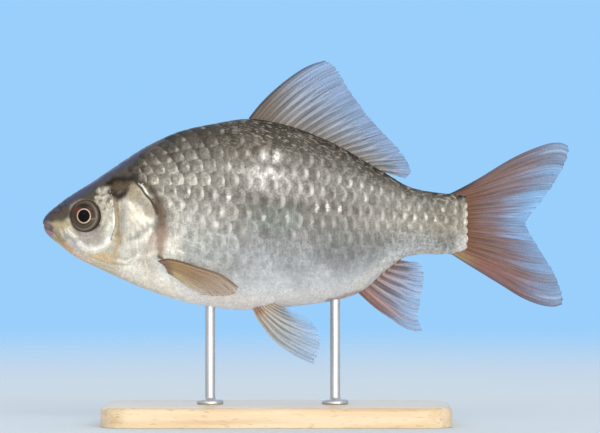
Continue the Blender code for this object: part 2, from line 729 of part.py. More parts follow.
def build():
    for obj in list(bpy.data.objects):
        bpy.data.objects.remove(obj)
    parts = bpy.data.collections.new("crucian_carp")
    tools = bpy.data.collections.new("cutters")
    bpy.context.scene.collection.children.link(parts)
    bpy.context.scene.collection.children.link(tools)

    back_skin = material("back_and_flank_skin", (0.42, 0.42, 0.38), 0.35)
    head_skin = material("head_skin", (0.5, 0.46, 0.38), 0.3)
    gill_skin = material("gill_cover_skin", (0.72, 0.68, 0.58), 0.25, 0.2)
    fin_skin = material("fin_membrane", (0.62, 0.6, 0.66), 0.4)
    tail_skin = material("tail_fin_membrane", (0.6, 0.45, 0.4), 0.4)
    eye_glass = material("eye", (0.5, 0.35, 0.25), 0.08)
    board = material("stand_board", (0.8, 0.68, 0.52), 0.5)
    steel = material("stand_steel", (0.75, 0.75, 0.75), 0.3, 1.0)

    body = body_tube("body", tools)
    body_cutter = body_tube("body_cutter", tools, GAP)
    lips = [lip("upper_lip", 1, tools), lip("lower_lip", -1, tools)]
    rims = [orbit_rim(side, tools) for side in (-1, 1)]
    flaps = [nostril_flap(side, tools) for side in (-1, 1)]
    cut(body, "UNION", *lips, *rims, *flaps)

    head_outline = [(-CLEAR, CLEAR), (-CLEAR, -CLEAR)] + list(reversed(HEAD_REAR))
    jaw_outline = [(JAW_TOP[0][0], JAW_TOP[-1][1])] + list(reversed(JAW_TOP))
    past_tail = BODY_LENGTH + CLEAR
    stem_outline = [
        (TAIL_STEM_START, -CLEAR), (past_tail, -CLEAR), (past_tail, CLEAR), (TAIL_STEM_START, CLEAR),
    ]
    head_block = flat_prism("head_block", head_outline, tools)
    head_room = flat_prism("head_room", widened(head_outline, GAP), tools)
    jaw_block = flat_prism("jaw_block", jaw_outline, tools)
    jaw_room = flat_prism("jaw_room", widened(jaw_outline, GAP), tools)
    stem_block = flat_prism("stem_block", stem_outline, tools)
    stem_room = flat_prism("stem_room", widened(stem_outline, GAP), tools)

    head = duplicate(body, "head", parts)
    cut(head, "INTERSECT", head_block)
    cut(head, "DIFFERENCE", jaw_room)
    pits = [pit for side in (-1, 1) for pit in nostril_cutters(side, tools)]
    sockets = [eyeball(f"socket_{side}", side, tools, GAP) for side in (-1, 1)]
    recesses = [
        gill_plate(f"gill_recess_{side}", side, tools, GAP, GILL_DEPTH + GAP, GILL_DEPTH)
        for side in (-1, 1)
    ]
    cut(head, "DIFFERENCE", *pits, *sockets, *recesses)
    keep_largest_shell(head)
    finish(head, head_skin)

    jaw = duplicate(body, "lower_jaw", parts)
    cut(jaw, "INTERSECT", jaw_block)
    keep_largest_shell(jaw)
    finish(jaw, head_skin)

    trunk = duplicate(body, "trunk", parts)
    cut(trunk, "DIFFERENCE", head_room, stem_room)
    keep_largest_shell(trunk)
    finish(trunk, back_skin)

    stem = duplicate(body, "tail_stem", parts)
    cut(stem, "INTERSECT", stem_block)
    keep_largest_shell(stem)
    finish(stem, back_skin)

    for word, side in (("left", -1), ("right", 1)):
        plate = gill_plate(f"gill_cover_{word}", side, parts, 0, GILL_DEPTH)
        finish(plate, gill_skin)
        finish(eyeball(f"eye_{word}", side, parts), eye_glass)

    for kind in ("dorsal_fin", "tail_fin_upper", "tail_fin_lower", "anal_fin"):
        finish(fin(kind, kind, 0, parts, body_cutter), tail_skin if "tail" in kind else fin_skin)
    for kind in ("pelvic_fin", "pectoral_fin"):
        for word, side in (("left", -1), ("right", 1)):
            finish(fin(f"{kind}_{word}", kind, side, parts, body_cutter), fin_skin)

    finish(stand_base(parts), board)
    for name, station in ROD_STATIONS.items():
        finish(stand_rod(name, station, parts, body_cutter), steel)

    for tool in list(tools.objects):
        bpy.data.objects.remove(tool)


build()
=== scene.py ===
"""Looks of the crucian carp model: skin, scales, fins, eyes and display stand.

The fish faces -X with its back towards +Z, as its solids do. Tables give it in millimetres: a
station runs from the tip of the snout to the tail, a height is measured from the axis of the body,
and a share of the half girth runs from the belly's middle line (0) to the back's (1).
"""

import math
import random

import bmesh
import bpy
import numpy as np
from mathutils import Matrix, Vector


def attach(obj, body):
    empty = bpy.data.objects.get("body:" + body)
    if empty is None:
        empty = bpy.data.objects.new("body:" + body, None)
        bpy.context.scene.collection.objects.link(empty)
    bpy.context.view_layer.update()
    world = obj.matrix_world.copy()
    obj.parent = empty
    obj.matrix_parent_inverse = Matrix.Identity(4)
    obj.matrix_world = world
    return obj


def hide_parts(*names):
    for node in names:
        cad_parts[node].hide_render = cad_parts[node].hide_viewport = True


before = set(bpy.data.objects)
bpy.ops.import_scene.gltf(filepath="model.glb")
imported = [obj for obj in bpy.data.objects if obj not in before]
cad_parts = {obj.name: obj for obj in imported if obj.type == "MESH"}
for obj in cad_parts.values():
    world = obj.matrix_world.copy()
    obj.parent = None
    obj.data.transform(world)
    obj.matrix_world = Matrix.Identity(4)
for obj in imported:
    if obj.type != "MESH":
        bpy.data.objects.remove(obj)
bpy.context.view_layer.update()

MM = 0.001

# Places shared with the solids, except that the scaly end of the tail here runs on over the fin's root
SNOUT_X = -78.75
AXIS_HEIGHT = 60.6
BODY_LENGTH = 126.8
BACK = [
    (0, 0.7), (0.5, 1.7), (1.3, 2.6), (4, 4.9), (8.2, 8), (14.2, 11.7), (24.4, 18.6), (32, 23.4),
    (41, 27.5), (50, 29.5), (61.7, 31.2), (73.1, 29.2), (86.6, 24), (101.9, 15.3), (111.5, 10.2),
    (119, 8.9), (124, 8.4), (126.8, 8),
]
BELLY = [
    (0, -0.9), (0.3, -2.2), (2, -4.6), (5.4, -7.3), (9.3, -10.3), (18.5, -14.8), (27.5, -18.9),
    (36.5, -22.5), (45.5, -24.9), (60.5, -26.6), (77, -25.3), (90.5, -23.1), (95.5, -21), (104, -13.8),
    (108.5, -10.8), (114, -9.9), (120, -10), (124, -9.6), (126.8, -8.4),
]
HALF_WIDTH = [
    (0, 0.7), (1, 2.3), (3, 3.7), (6, 5), (10, 6.3), (14, 7.6), (20, 9.3), (28, 10.9), (38, 12.1),
    (50, 12.6), (62, 12.3), (75, 11), (86, 9.2), (98, 6.8), (108, 4.9), (117, 3.6), (123, 2.4),
    (126.8, 0.9),
]
WIDEST_HEIGHT = [(0, -0.3), (4, -1.6), (10, -2), (24, -1), (45, 0.5), (80, 0.3), (110, -0.5), (126.8, 0)]
ROUNDNESS_ABOVE = [(0, 2), (8, 2.3), (20, 2.4), (40, 2.05), (126.8, 2)]
ROUNDNESS_BELOW = [(0, 2), (8, 2.2), (45, 2.3), (126.8, 2.1)]
GILL_FRONT = [(21.8, -12.2), (22.1, -7.2), (22.7, -2.4), (22.5, 3.6), (23, 8.6)]
GILL_REAR = [(26.6, -12.3), (30.2, -9), (32.6, -4.6), (33.9, -0.4), (34, 3.6), (32.3, 7.6), (29.3, 10.9)]
GILL_TOP = [(23, 8.6), (25.4, 11.4), (29.3, 10.9)]
GILL_LOWER_BOW = 0.4
EYE_STATION = 12.6
EYE_HEIGHT = 1.8
EYE_DEPTH_RADIUS = 2.8
EYE_BULGE = 1.1
BASE_CENTRE_STATION = 70
BASE_LENGTH = 104
BASE_WIDTH = 54
BASE_THICKNESS = 6
BASE_CORNER = 9
BASE_EDGE = 1.2
BASE_FOOT_EDGE = 0.4
ROD_STATIONS = {"stand_rod_front": 50, "stand_rod_rear": 87.5}
ROD_RADIUS = 1.5
ROD_FOOT_RADIUS = 4
ROD_FOOT_HEIGHT = 1.4
ROD_INTO_BELLY = 0.8

# Camera: the photograph's frame is 180 mm wide at the fish's middle plane
VIEW_WIDTH = 180
VIEW_CENTRE_X = -1.8
VIEW_CENTRE_Z = 62.25
CAMERA_DISTANCE = 1200
SENSOR_WIDTH = 36

# Skin: stations crowd together on the head, and scales stand on a skin that lies a little deeper
SKIN_SPACING = [(0, 0.12), (3, 0.16), (8, 0.22), (20, 0.26), (34, 0.34), (40, 0.9), (120, 1.3), (126.8, 0.5)]
SKIN_RING = 336
SCALE_DEPTH = 0.25
WELD_DISTANCE = 0.001

# Scales: spacing along a row and between rows, by station, and the line that the rows follow
SCALE_LENGTH = [
    (20, 3.4), (35, 3.7), (52, 4), (62, 4), (72, 3.6), (82, 3.3), (100, 3.25), (119, 3), (128, 2.2),
]
ROW_HEIGHT = [
    (20, 2.5), (28, 2.8), (36, 3.5), (44, 4.2), (56, 4.8), (80, 4.9), (92, 4.3), (104, 3.5), (118, 3.1),
    (128, 2.3),
]
LATERAL_LINE = [(20, 12.5), (35, 9.6), (50, 8.4), (70, 6.4), (92, 3.6), (110, 1.7), (126.8, 0)]


def cubic(t, width, start, slope, end, last_slope):
    """A cubic from one value to another with the slopes that it has at both."""
    first = (1 + 2 * t) * (1 - t) ** 2 * start + t * (1 - t) ** 2 * width * slope
    return first + t * t * (3 - 2 * t) * end + t * t * (t - 1) * width * last_slope


class Profile:
    """A smooth value along the body that never overshoots the few stations it is given at."""

    def __init__(self, table):
        self.at, self.value = np.array(table, dtype=float).T
        step = np.diff(self.at)
        rise = np.diff(self.value) / step
        both = rise[:-1] + rise[1:]
        steady = 2 * rise[:-1] * rise[1:] / np.where(both == 0, 1, both)
        inner = np.where(rise[:-1] * rise[1:] > 0, steady, 0)
        self.slope = np.concatenate([rise[:1], inner, rise[-1:]])

    def __call__(self, station):
        station = np.clip(station, self.at[0], self.at[-1])
        i = np.clip(np.searchsorted(self.at, station, side="right") - 1, 0, len(self.at) - 2)
        width = self.at[i + 1] - self.at[i]
        t = (station - self.at[i]) / width
        return cubic(t, width, self.value[i], self.slope[i], self.value[i + 1], self.slope[i + 1])


class Path:
    """A smooth line through a few points, read by the share of its length that has passed."""

    def __init__(self, points):
        self.points = np.array(points, dtype=float)
        chords = np.linalg.norm(np.diff(self.points, axis=0), axis=1)
        self.at = np.concatenate([[0], np.cumsum(chords)])
        self.at = self.at / self.at[-1]
        before = np.maximum(np.arange(len(points)) - 1, 0)
        after = np.minimum(np.arange(len(points)) + 1, len(points) - 1)
        gap = (self.at[after] - self.at[before])[:, None]
        self.tangent = (self.points[after] - self.points[before]) / gap

    def __call__(self, share):
        share = np.asarray(share, dtype=float)
        i = np.clip(np.searchsorted(self.at, share, side="right") - 1, 0, len(self.points) - 2)
        width = (self.at[i + 1] - self.at[i])[..., None]
        t = (share - self.at[i])[..., None] / width
        return cubic(t, width, self.points[i], self.tangent[i], self.points[i + 1], self.tangent[i + 1])


back, belly, half_width, widest_height = map(Profile, (BACK, BELLY, HALF_WIDTH, WIDEST_HEIGHT))
roundness_above, roundness_below = map(Profile, (ROUNDNESS_ABOVE, ROUNDNESS_BELOW))
lateral_line, scale_length, row_height = map(Profile, (LATERAL_LINE, SCALE_LENGTH, ROW_HEIGHT))


def smooth(low, high, value):
    """Rises gently from 0 at low to 1 at high."""
    t = np.clip((value - low) / (high - low), 0, 1)
    return t * t * (3 - 2 * t)


def bell(value, width):
    return np.exp(-((value / width) ** 2))


def place(station, side, height):
    """World points, in metres, of places on the fish given in millimetres."""
    return np.stack([SNOUT_X + station, side, AXIS_HEIGHT + height], axis=-1) * MM


def section(station, above):
    """Height of the middle, reach from it to the back or belly, and how round that half is."""
    middle = widest_height(station)
    reach = np.where(above, back(station) - middle, middle - belly(station))
    return middle, reach, np.where(above, roundness_above(station), roundness_below(station))


def side_depth(station, height):
    """How far the skin lies from the middle plane at a station and height."""
    middle, reach, power = section(station, height > widest_height(station))
    share = np.minimum(np.abs(height - middle) / reach, 1)
    return half_width(station) * (1 - share**power) ** (1 / power)


def side_slope(station, height, step):
    """How fast the depth of the skin grows along the body and upwards."""
    along = side_depth(station + step, height) - side_depth(station - step, height)
    up = side_depth(station, height + step) - side_depth(station, height - step)
    return along / (2 * step), up / (2 * step)


def line_distance(station, height, points, samples=40):
    """The distance from places on the side of the fish to a smooth line through a few points."""
    if len(points) == 1:
        return np.hypot(station - points[0][0], height - points[0][1])
    spots = Path(points)(np.linspace(0, 1, samples if len(points) > 2 else 2))
    best = np.full(np.shape(station), np.inf)
    for start, end in zip(spots, spots[1:]):
        run = end - start
        along = ((station - start[0]) * run[0] + (height - start[1]) * run[1]) / (run @ run)
        along = np.clip(along, 0, 1)
        gap = np.hypot(station - start[0] - along * run[0], height - start[1] - along * run[1])
        best = np.minimum(best, gap)
    return best


def waves(station, height, size, seed):
    """A soft seeded unevenness of about one unit either way, with features of a size in millimetres."""
    draw = random.Random(seed)
    total = np.zeros(np.shape(station))
    for _ in range(7):
        turn = draw.uniform(0, math.pi)
        pitch = 2 * math.pi / (size * draw.uniform(0.7, 1.6))
        total = total + np.sin(
            (station * math.cos(turn) + height * math.sin(turn)) * pitch + draw.uniform(0, 2 * math.pi)
        )
    return total / 2.6


class Hide:
    """The skin unrolled: side and height by station and by share of the half girth."""

    STATIONS = 420
    SHARES = 300
    ANGLES = 721

    def __init__(self):
        self.station = np.linspace(0, BODY_LENGTH, self.STATIONS)
        self.share = np.linspace(0, 1, self.SHARES)
        self.side = np.empty((self.STATIONS, self.SHARES))
        self.height = np.empty((self.STATIONS, self.SHARES))
        self.girth = np.empty(self.STATIONS)
        angle = np.linspace(-math.pi / 2, math.pi / 2, self.ANGLES)
        for row, station in enumerate(self.station):
            middle, reach, power = section(station, angle >= 0)
            side = half_width(station) * np.abs(np.cos(angle)) ** (2 / power)
            height = middle + reach * np.sign(angle) * np.abs(np.sin(angle)) ** (2 / power)
            side[0] = side[-1] = 0
            passed = np.concatenate([[0], np.cumsum(np.hypot(np.diff(side), np.diff(height)))])
            self.girth[row] = passed[-1]
            self.side[row] = np.interp(self.share, passed / passed[-1], side)
            self.height[row] = np.interp(self.share, passed / passed[-1], height)

    def __call__(self, station, share):
        """Side and height; a share past the back or belly comes down the other side."""
        over = (share > 1) | (share < 0)
        share = np.where(share > 1, 2 - share, np.abs(share))
        x = np.clip(station, 0, BODY_LENGTH) / BODY_LENGTH * (self.STATIONS - 1)
        y = np.clip(share, 0, 1) * (self.SHARES - 1)
        i = np.minimum(x.astype(int), self.STATIONS - 2)
        j = np.minimum(y.astype(int), self.SHARES - 2)
        fx = x - i
        fy = y - j
        found = []
        for table in (self.side, self.height):
            low = table[i, j] * (1 - fx) + table[i + 1, j] * fx
            high = table[i, j + 1] * (1 - fx) + table[i + 1, j + 1] * fx
            found.append(low * (1 - fy) + high * fy)
        return np.where(over, -found[0], found[0]), found[1]

    def girth_at(self, station):
        return np.interp(station, self.station, self.girth)

    def share_of(self, station, height):
        """The share of the half girth at which the skin has a height."""
        rows = np.round(station / BODY_LENGTH * (self.STATIONS - 1)).astype(int)
        rows = np.clip(rows, 0, self.STATIONS - 1)
        return np.array([np.interp(h, self.height[i], self.share) for i, h in zip(rows, height)])

    def lifted(self, station, share, side, lift):
        """World points a distance in millimetres above the skin on one side of the fish."""
        step = 0.3
        turn = 0.006

        def spot(at, part):
            depth, height = self(at, part)
            return np.stack([at, side * depth, height], axis=-1)

        centre = spot(station, share)
        along = spot(station + step, share) - spot(station - step, share)
        up = spot(station, share + turn) - spot(station, share - turn)
        normal = -np.cross(along, up) * np.sign(side)[..., None]
        normal = normal / np.maximum(np.linalg.norm(normal, axis=-1, keepdims=True), 1e-9)
        spots = centre + normal * lift[..., None]
        return place(spots[..., 0], spots[..., 1], spots[..., 2])


hide = Hide()


def linear(code):
    """An sRGB hex colour as linear red, green and blue."""
    values = [int(code[i:i + 2], 16) / 255 for i in (1, 3, 5)]
    return np.array([((c + 0.055) / 1.055) ** 2.4 if c > 0.04045 else c / 12.92 for c in values])


def fill(tree, node, inputs):
    """Fills a node's inputs with values or links."""
    for socket, value in inputs.items():
        if isinstance(value, bpy.types.NodeSocket):
            tree.links.new(value, node.inputs[socket])
        else:
            node.inputs[socket].default_value = value


def add_node(tree, kind, inputs=None, **settings):
    """Adds a node, gives it its settings, and fills its inputs."""
    node = tree.nodes.new(kind)
    for name, value in settings.items():
        setattr(node, name, value)
    fill(tree, node, inputs or {})
    return node


def new_material(name):
    """A material with only its Principled shader: it, its node tree, the shader and Object places."""
    made = bpy.data.materials.new(name)
    made.use_nodes = True
    tree = made.node_tree
    spot = add_node(tree, "ShaderNodeTexCoord").outputs["Object"]
    return made, tree, tree.nodes["Principled BSDF"], spot


def mesh_object(name, bm, sharp=None, closed=True):
    """Turns a bmesh into a smooth-shaded object at the origin, its edges sharp from an angle in degrees."""
    if closed:
        bmesh.ops.recalc_face_normals(bm, faces=bm.faces)
    mesh = bpy.data.meshes.new(name)
    bm.to_mesh(mesh)
    bm.free()
    mesh.shade_smooth()
    if sharp:
        mesh.set_sharp_from_angle(angle=math.radians(sharp))
    obj = bpy.data.objects.new(name, mesh)
    bpy.context.scene.collection.objects.link(obj)
    return obj


def finish_piece(piece, material, slot, *nodes):
    """Gives a piece its material, puts it under the root, and hides the solids it stands for; the slot is
    not used.
    """
    piece.data.materials.append(material)
    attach(piece, "root")
    if nodes:
        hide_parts(*nodes)


def set_spots(bm, spots):
    for vert, spot in zip(bm.verts, spots):
        vert.co = spot


def store(mesh, colour=None, **values):
    """Keeps a linear colour and named numbers on the corners of a mesh, for its material to read."""
    if colour is not None:
        layer = mesh.color_attributes.new("tint", "FLOAT_COLOR", "POINT")
        full = np.concatenate([colour, np.ones((len(colour), 1))], axis=1)
        layer.data.foreach_set("color", full.astype(np.float32).ravel())
    for name, value in values.items():
        layer = mesh.attributes.new(name, "FLOAT", "POINT")
        layer.data.foreach_set("value", np.asarray(value, dtype=np.float32))


def corners(mesh):
    """The corners of a mesh as station, side and height in millimetres."""
    spots = np.empty(len(mesh.vertices) * 3)
    mesh.vertices.foreach_get("co", spots)
    spots = spots.reshape(-1, 3) / MM
    return spots[:, 0] - SNOUT_X, spots[:, 1], spots[:, 2] - AXIS_HEIGHT


class Brush:
    """Lays colours over places on the side of the fish, one on top of another."""

    def __init__(self, station, height, colour, silver):
        self.station = station
        self.height = height
        self.colour = colour
        self.silver = silver

    def lay(self, mask, code, silver=None):
        self.colour += (linear(code) - self.colour) * mask[:, None]
        if silver is not None:
            self.silver += (silver - self.silver) * mask

    def spot(self, centre, radii, code, strength=1.0, soft=0.5, turn=0.0, silver=None):
        """An oval patch, its edge softened over a share of its radius."""
        x = self.station - centre[0]
        y = self.height - centre[1]
        angle = math.radians(turn)
        along = (x * math.cos(angle) + y * math.sin(angle)) / radii[0]
        across = (y * math.cos(angle) - x * math.sin(angle)) / radii[1]
        away = np.hypot(along, across)
        self.lay(strength * (1 - smooth(1 - soft, 1 + soft, away)), code, silver)

    def stroke(self, points, half, code, strength=1.0, soft=0.6, silver=None):
        """A band along a line, half as wide as it says on each side."""
        away = line_distance(self.station, self.height, points) / half
        self.lay(strength * (1 - smooth(1 - soft, 1 + soft, away)), code, silver)


# Colours down the side of the body, from the belly's middle line to the back's, at a few stations
BODY_TONES = {
    # near the head the last, bluish tones are the back's dark colour with a painted reflection of the blue
    # backdrop
    24: [
        (0, "#ece6dc"), (0.2, "#ece7dc"), (0.5, "#cfc9bb"), (0.72, "#9d9687"), (0.84, "#746c60"),
        (0.93, "#3d3e48"), (1, "#2c3244"),
    ],
    44: [
        (0, "#eff3fd"), (0.15, "#f3f3f2"), (0.3, "#acaea9"), (0.45, "#989893"), (0.58, "#97948d"),
        (0.7, "#a8a59c"), (0.82, "#837d73"), (0.9, "#4b4740"), (0.96, "#2a2b33"), (1, "#24283a"),
    ],
    66: [
        (0, "#e4eaf8"), (0.12, "#e6e9ee"), (0.26, "#b6b9ba"), (0.38, "#7f8182"), (0.5, "#666562"),
        (0.6, "#686562"), (0.72, "#726e67"), (0.83, "#605a51"), (0.92, "#4a443c"), (0.97, "#2d2925"),
        (1, "#212022"),
    ],
    92: [
        (0, "#dde3ee"), (0.15, "#cbced1"), (0.3, "#767878"), (0.45, "#6e6e6b"), (0.6, "#797672"),
        (0.75, "#8d8c89"), (0.88, "#645f58"), (0.95, "#2c2823"), (1, "#1d1b1a"),
    ],
    118: [
        (0, "#c6c4c0"), (0.2, "#adaeac"), (0.4, "#949289"), (0.6, "#8d8a81"), (0.8, "#7c7a73"),
        (0.89, "#66635b"), (0.94, "#35312b"), (1, "#1e1c1a"),
    ],
}


def body_tone(station, share):
    """The body's ground colour, blended between the tables above."""
    stations = sorted(BODY_TONES)
    ramps = []
    for at in stations:
        shares, codes = zip(*BODY_TONES[at])
        tones = np.array([linear(code) for code in codes])
        ramps.append([np.interp(share, shares, channel) for channel in tones.T])
    ramps = np.array(ramps)
    x = np.interp(station, stations, np.arange(len(stations)))
    low = np.minimum(x.astype(int), len(stations) - 2)
    rows = np.arange(len(station))
    part = (x - low)[:, None]
    return ramps[low, :, rows] * (1 - part) + ramps[low + 1, :, rows] * part


CROWN_EDGE = [
    (0, 0.6), (3.7, 0), (7.2, 0.7), (8, 3.2), (9.1, 5.2), (12.3, 6.6), (15.4, 5.9), (16.2, 7.6),
    (16.8, 9.5), (18.7, 10.6), (20.6, 11), (22.5, 12.6), (27.8, 13.3), (30, 15), (36, 21),
]
crown_edge = Profile(CROWN_EDGE)

# Marks of the head, laid in turn: colour, strength, half width, softness, silver, and the line they follow
HEAD_MARKS = [
    # pale breast, throat, chin and lower jaw
    ("#ebe5d7", 0.9, 2.9, 0.8, 0.15, [(26.5, -14.6), (31.5, -17.4), (37.5, -19.6)]),
    ("#cfb48a", 0.7, 1.4, 0.8, 0, [(15.6, -10.2), (21.2, -11.3)]),
    ("#a1925c", 0.6, 0.4, 0.8, 0, [(2.6, -4.5), (5.2, -6)]),
    ("#b98a60", 0.7, 0.6, 0.9, 0, [(5.8, -6.4), (7.2, -7.4), (9, -8.4)]),
    ("#dcbfb5", 0.6, 0.8, 0.9, 0, [(9.4, -9.2), (14.2, -11.9)]),
    ("#c9a47c", 0.4, 0.8, 0.9, 0, [(17.8, -9.9), (20.6, -10.2)]),
    # snout, nostril and lips
    ("#51473f", 0.88, 1.9, 0.5, 0, [(2.6, 1.4), (6.9, 2.8)]),
    ("#454f4d", 0.5, 0.7, 0.7, 0, [(4.9, 4.8), (6.2, 5.4)]),
    ("#40353f", 0.75, 0.3, 0.9, 0, [(2.4, 2.2), (3.8, 2.9), (5.6, 3.4)]),
    # painted shade in the two nostrils
    ("#332d31", 0.6, 0.35, 0.8, 0, [(5, 4.2), (6.6, 5)]),
    ("#37445b", 0.9, 1.2, 0.7, 0, [(0.3, 0.8), (1.2, 1.8)]),
    ("#a69a76", 0.85, 1.4, 0.7, 0.05, [(4.8, -1), (7.2, -0.9)]),
    ("#8f8067", 0.9, 1.3, 0.7, 0, [(3, -2.2), (4.4, -3.8), (6.2, -5)]),
    ("#614a56", 0.85, 0.75, 0.7, 0, [(0.1, -0.3), (1.6, -1.2), (2.5, -1.9)]),
    ("#927585", 0.9, 0.95, 0.7, 0, [(0.1, -1.9), (1.2, -2.9), (2.4, -3.6)]),
    # a darker mauve line along the mouth: lip colour darkened as painted shade in the slit between the lips
    ("#513e48", 0.7, 0.24, 0.9, 0, [(-0.3, -0.8), (1.5, -2.1), (3, -3)]),
    # fold behind the upper jaw and the bluish skin under it
    ("#cbc2ac", 0.7, 0.35, 0.8, 0.2, [(5.5, -2.4), (6.6, -4.6), (7.9, -6.3)]),
    ("#a0a1a8", 0.75, 0.5, 0.8, 0.3, [(6.8, -3), (8.2, -4.8), (10.2, -7)]),
    ("#bdbac0", 0.6, 0.7, 0.9, 0.3, [(8.8, -6), (10.6, -7.6)]),
    ("#ddd6c9", 0.8, 0.45, 0.9, 0.35, [(7.8, -1.8), (9, -3.6), (10.6, -5.4), (12.2, -6.8)]),
    # silver cheek: pinkish grey ground with a bright crescent round it
    ("#aca19b", 0.85, 2.1, 0.7, 0.5, [(12.4, -4.4), (16.6, -4.2)]),
    ("#948d86", 0.6, 0.8, 0.9, 0.5, [(15.6, -2.4), (18.2, -1.6)]),
    ("#cdcec2", 0.9, 1.1, 0.8, 0.35, [(19.4, -5.4), (20.6, -2.4), (20.6, 0.8), (20.2, 3)]),
    ("#f8f2ea", 0.9, 0.85, 0.8, 0.3, [(11.4, -6.6), (13.4, -7.8), (15.9, -8.1), (18.5, -7.1), (20.2, -5)]),
    # flecked skin behind the eye
    ("#b3ab9b", 0.8, 1.8, 0.8, 0.4, [(18.6, 2), (18.9, 6.8)]),
    ("#e4decf", 0.9, 0.6, 0.8, 0.3, [(19.2, 9.4), (20.3, 10.2)]),
    ("#ded7c8", 0.7, 0.5, 0.9, 0.3, [(18.5, 7.2), (19, 8.9)]),
    ("#e8e2d4", 0.8, 0.35, 0.8, 0.3, [(17.3, 9.6)]),
    ("#6f6555", 0.75, 0.2, 0.6, 0, [(21.4, 6.6), (21.8, 3), (21.7, -1.6), (20.9, -5.4)]),
    # gill cover: pale ground, a bright patch that is a painted highlight, and bands of grey and white that
    # slant across it, painted shade and highlights on its silver
    ("#ccc6b9", 0.9, 4.3, 0.35, 0.35, [(28.4, 4.2), (28.4, -6.4)]),
    ("#aeaca2", 0.7, 0.9, 0.8, 0.4, [(24.7, 4.6), (24.6, -3)]),
    ("#938b7c", 0.85, 1.35, 0.7, 0.3, [(28.2, 7.8), (30.6, 5.5), (32.5, 2.6)]),
    ("#e8dcc9", 0.95, 0.85, 0.6, 0.35, [(26.8, 4.6), (28.2, 2.6), (31.2, 1.1)]),
    ("#e8dcc9", 0.9, 1.1, 0.7, 0.35, [(27.9, 1.4), (29.4, 1.1)]),
    ("#fffaf0", 0.9, 0.45, 0.8, 0.3, [(26.4, 6)]),
    ("#9d9c95", 0.85, 0.9, 0.9, 0.45, [(33.4, -0.8), (29.8, -3), (26.8, -5.4)]),
    ("#ded9cc", 0.85, 0.9, 0.9, 0.35, [(33.2, -3), (29.8, -5.4), (25.6, -7.3)]),
    ("#b0aca1", 0.45, 0.4, 0.9, 0.35, [(32.8, -4.8), (29.6, -7.7), (26.2, -9.1)]),
    ("#dad6cb", 0.8, 1.3, 0.9, 0.3, [(23.4, -8.4), (24.6, -9.6)]),
    ("#f8f2e4", 0.85, 0.55, 0.8, 0.25, [(21.6, -11.2), (24, -11.8), (27, -11.2), (29, -10)]),
    # tan groove between the cheek and the gill cover
    ("#8f7f64", 0.9, 0.7, 0.8, 0, [(22.3, 6.2), (22.8, 2.6), (22.9, -1.6), (22.7, -5.6)]),
    ("#b29d7b", 0.75, 0.8, 0.9, 0, [(22.7, -5), (22.4, -8.6), (21.6, -11.4)]),
    # dark arch over the gill cover: painted shadow in the gap over it and along its upper rear edge, with
    # the olive skin under it
    ("#4c3e2d", 0.97, 2, 0.5, 0, [(21.6, 9.9), (24, 10.8), (25.9, 10.5)]),
    ("#605347", 0.5, 0.7, 0.9, 0, [(22.6, 9.9), (25.2, 10.6)]),
    ("#21180f", 0.97, 1.1, 0.8, 0, [(20.4, 8.9), (22.4, 7.6), (24.8, 8.3)]),
    ("#a0947d", 0.9, 1, 0.7, 0.1, [(27.2, 10.5), (27.4, 9)]),
    ("#a0947d", 0.8, 1.1, 0.8, 0.15, [(27, 7.8), (28.4, 8.3)]),
    ("#1b130f", 0.93, 0.8, 0.9, 0, [(19.8, 11.7), (22.6, 12.6), (26.2, 12.9), (28.6, 12.4), (30.4, 11.1)]),
    ("#3f342b", 0.85, 0.85, 0.9, 0.05, [(30.4, 12.6), (32.8, 9.8), (34.9, 6.2)]),
    ("#1f1710", 0.95, 0.42, 0.8, 0, [(27.8, 12), (29.8, 9.7), (32.1, 7.2), (34, 4.8), (34.5, 2.4)]),
    # painted highlight along the curled rim of the gill cover
    ("#fffaf0", 1, 0.3, 0.8, 0.2, [(29.2, 11.6), (30.6, 10.2), (31.8, 8.9)]),
    # brown skin behind the gill cover, and the pale shoulder behind it
    ("#e3ded1", 0.7, 2.4, 0.9, 0.25, [(39.4, -6.4), (39, -10.8)]),
    ("#574331", 0.92, 1.6, 0.9, 0, [(35, 5), (35.8, 1.4), (35.9, -3)]),
    ("#937d6c", 0.9, 1.4, 0.9, 0, [(35.9, -3), (35.5, -6.6), (35.2, -9)]),
    ("#bfa999", 0.7, 0.8, 0.9, 0, [(33.6, -4), (32.8, -7), (31.6, -9.4)]),
    ("#e6dfd2", 0.65, 0.6, 0.9, 0.2, [(29.4, -10.3), (32.4, -9.7), (34.2, -8.9)]),
    ("#553f35", 0.9, 0.45, 0.8, 0, [(35, -10.1), (36.2, -10.6)]),
]


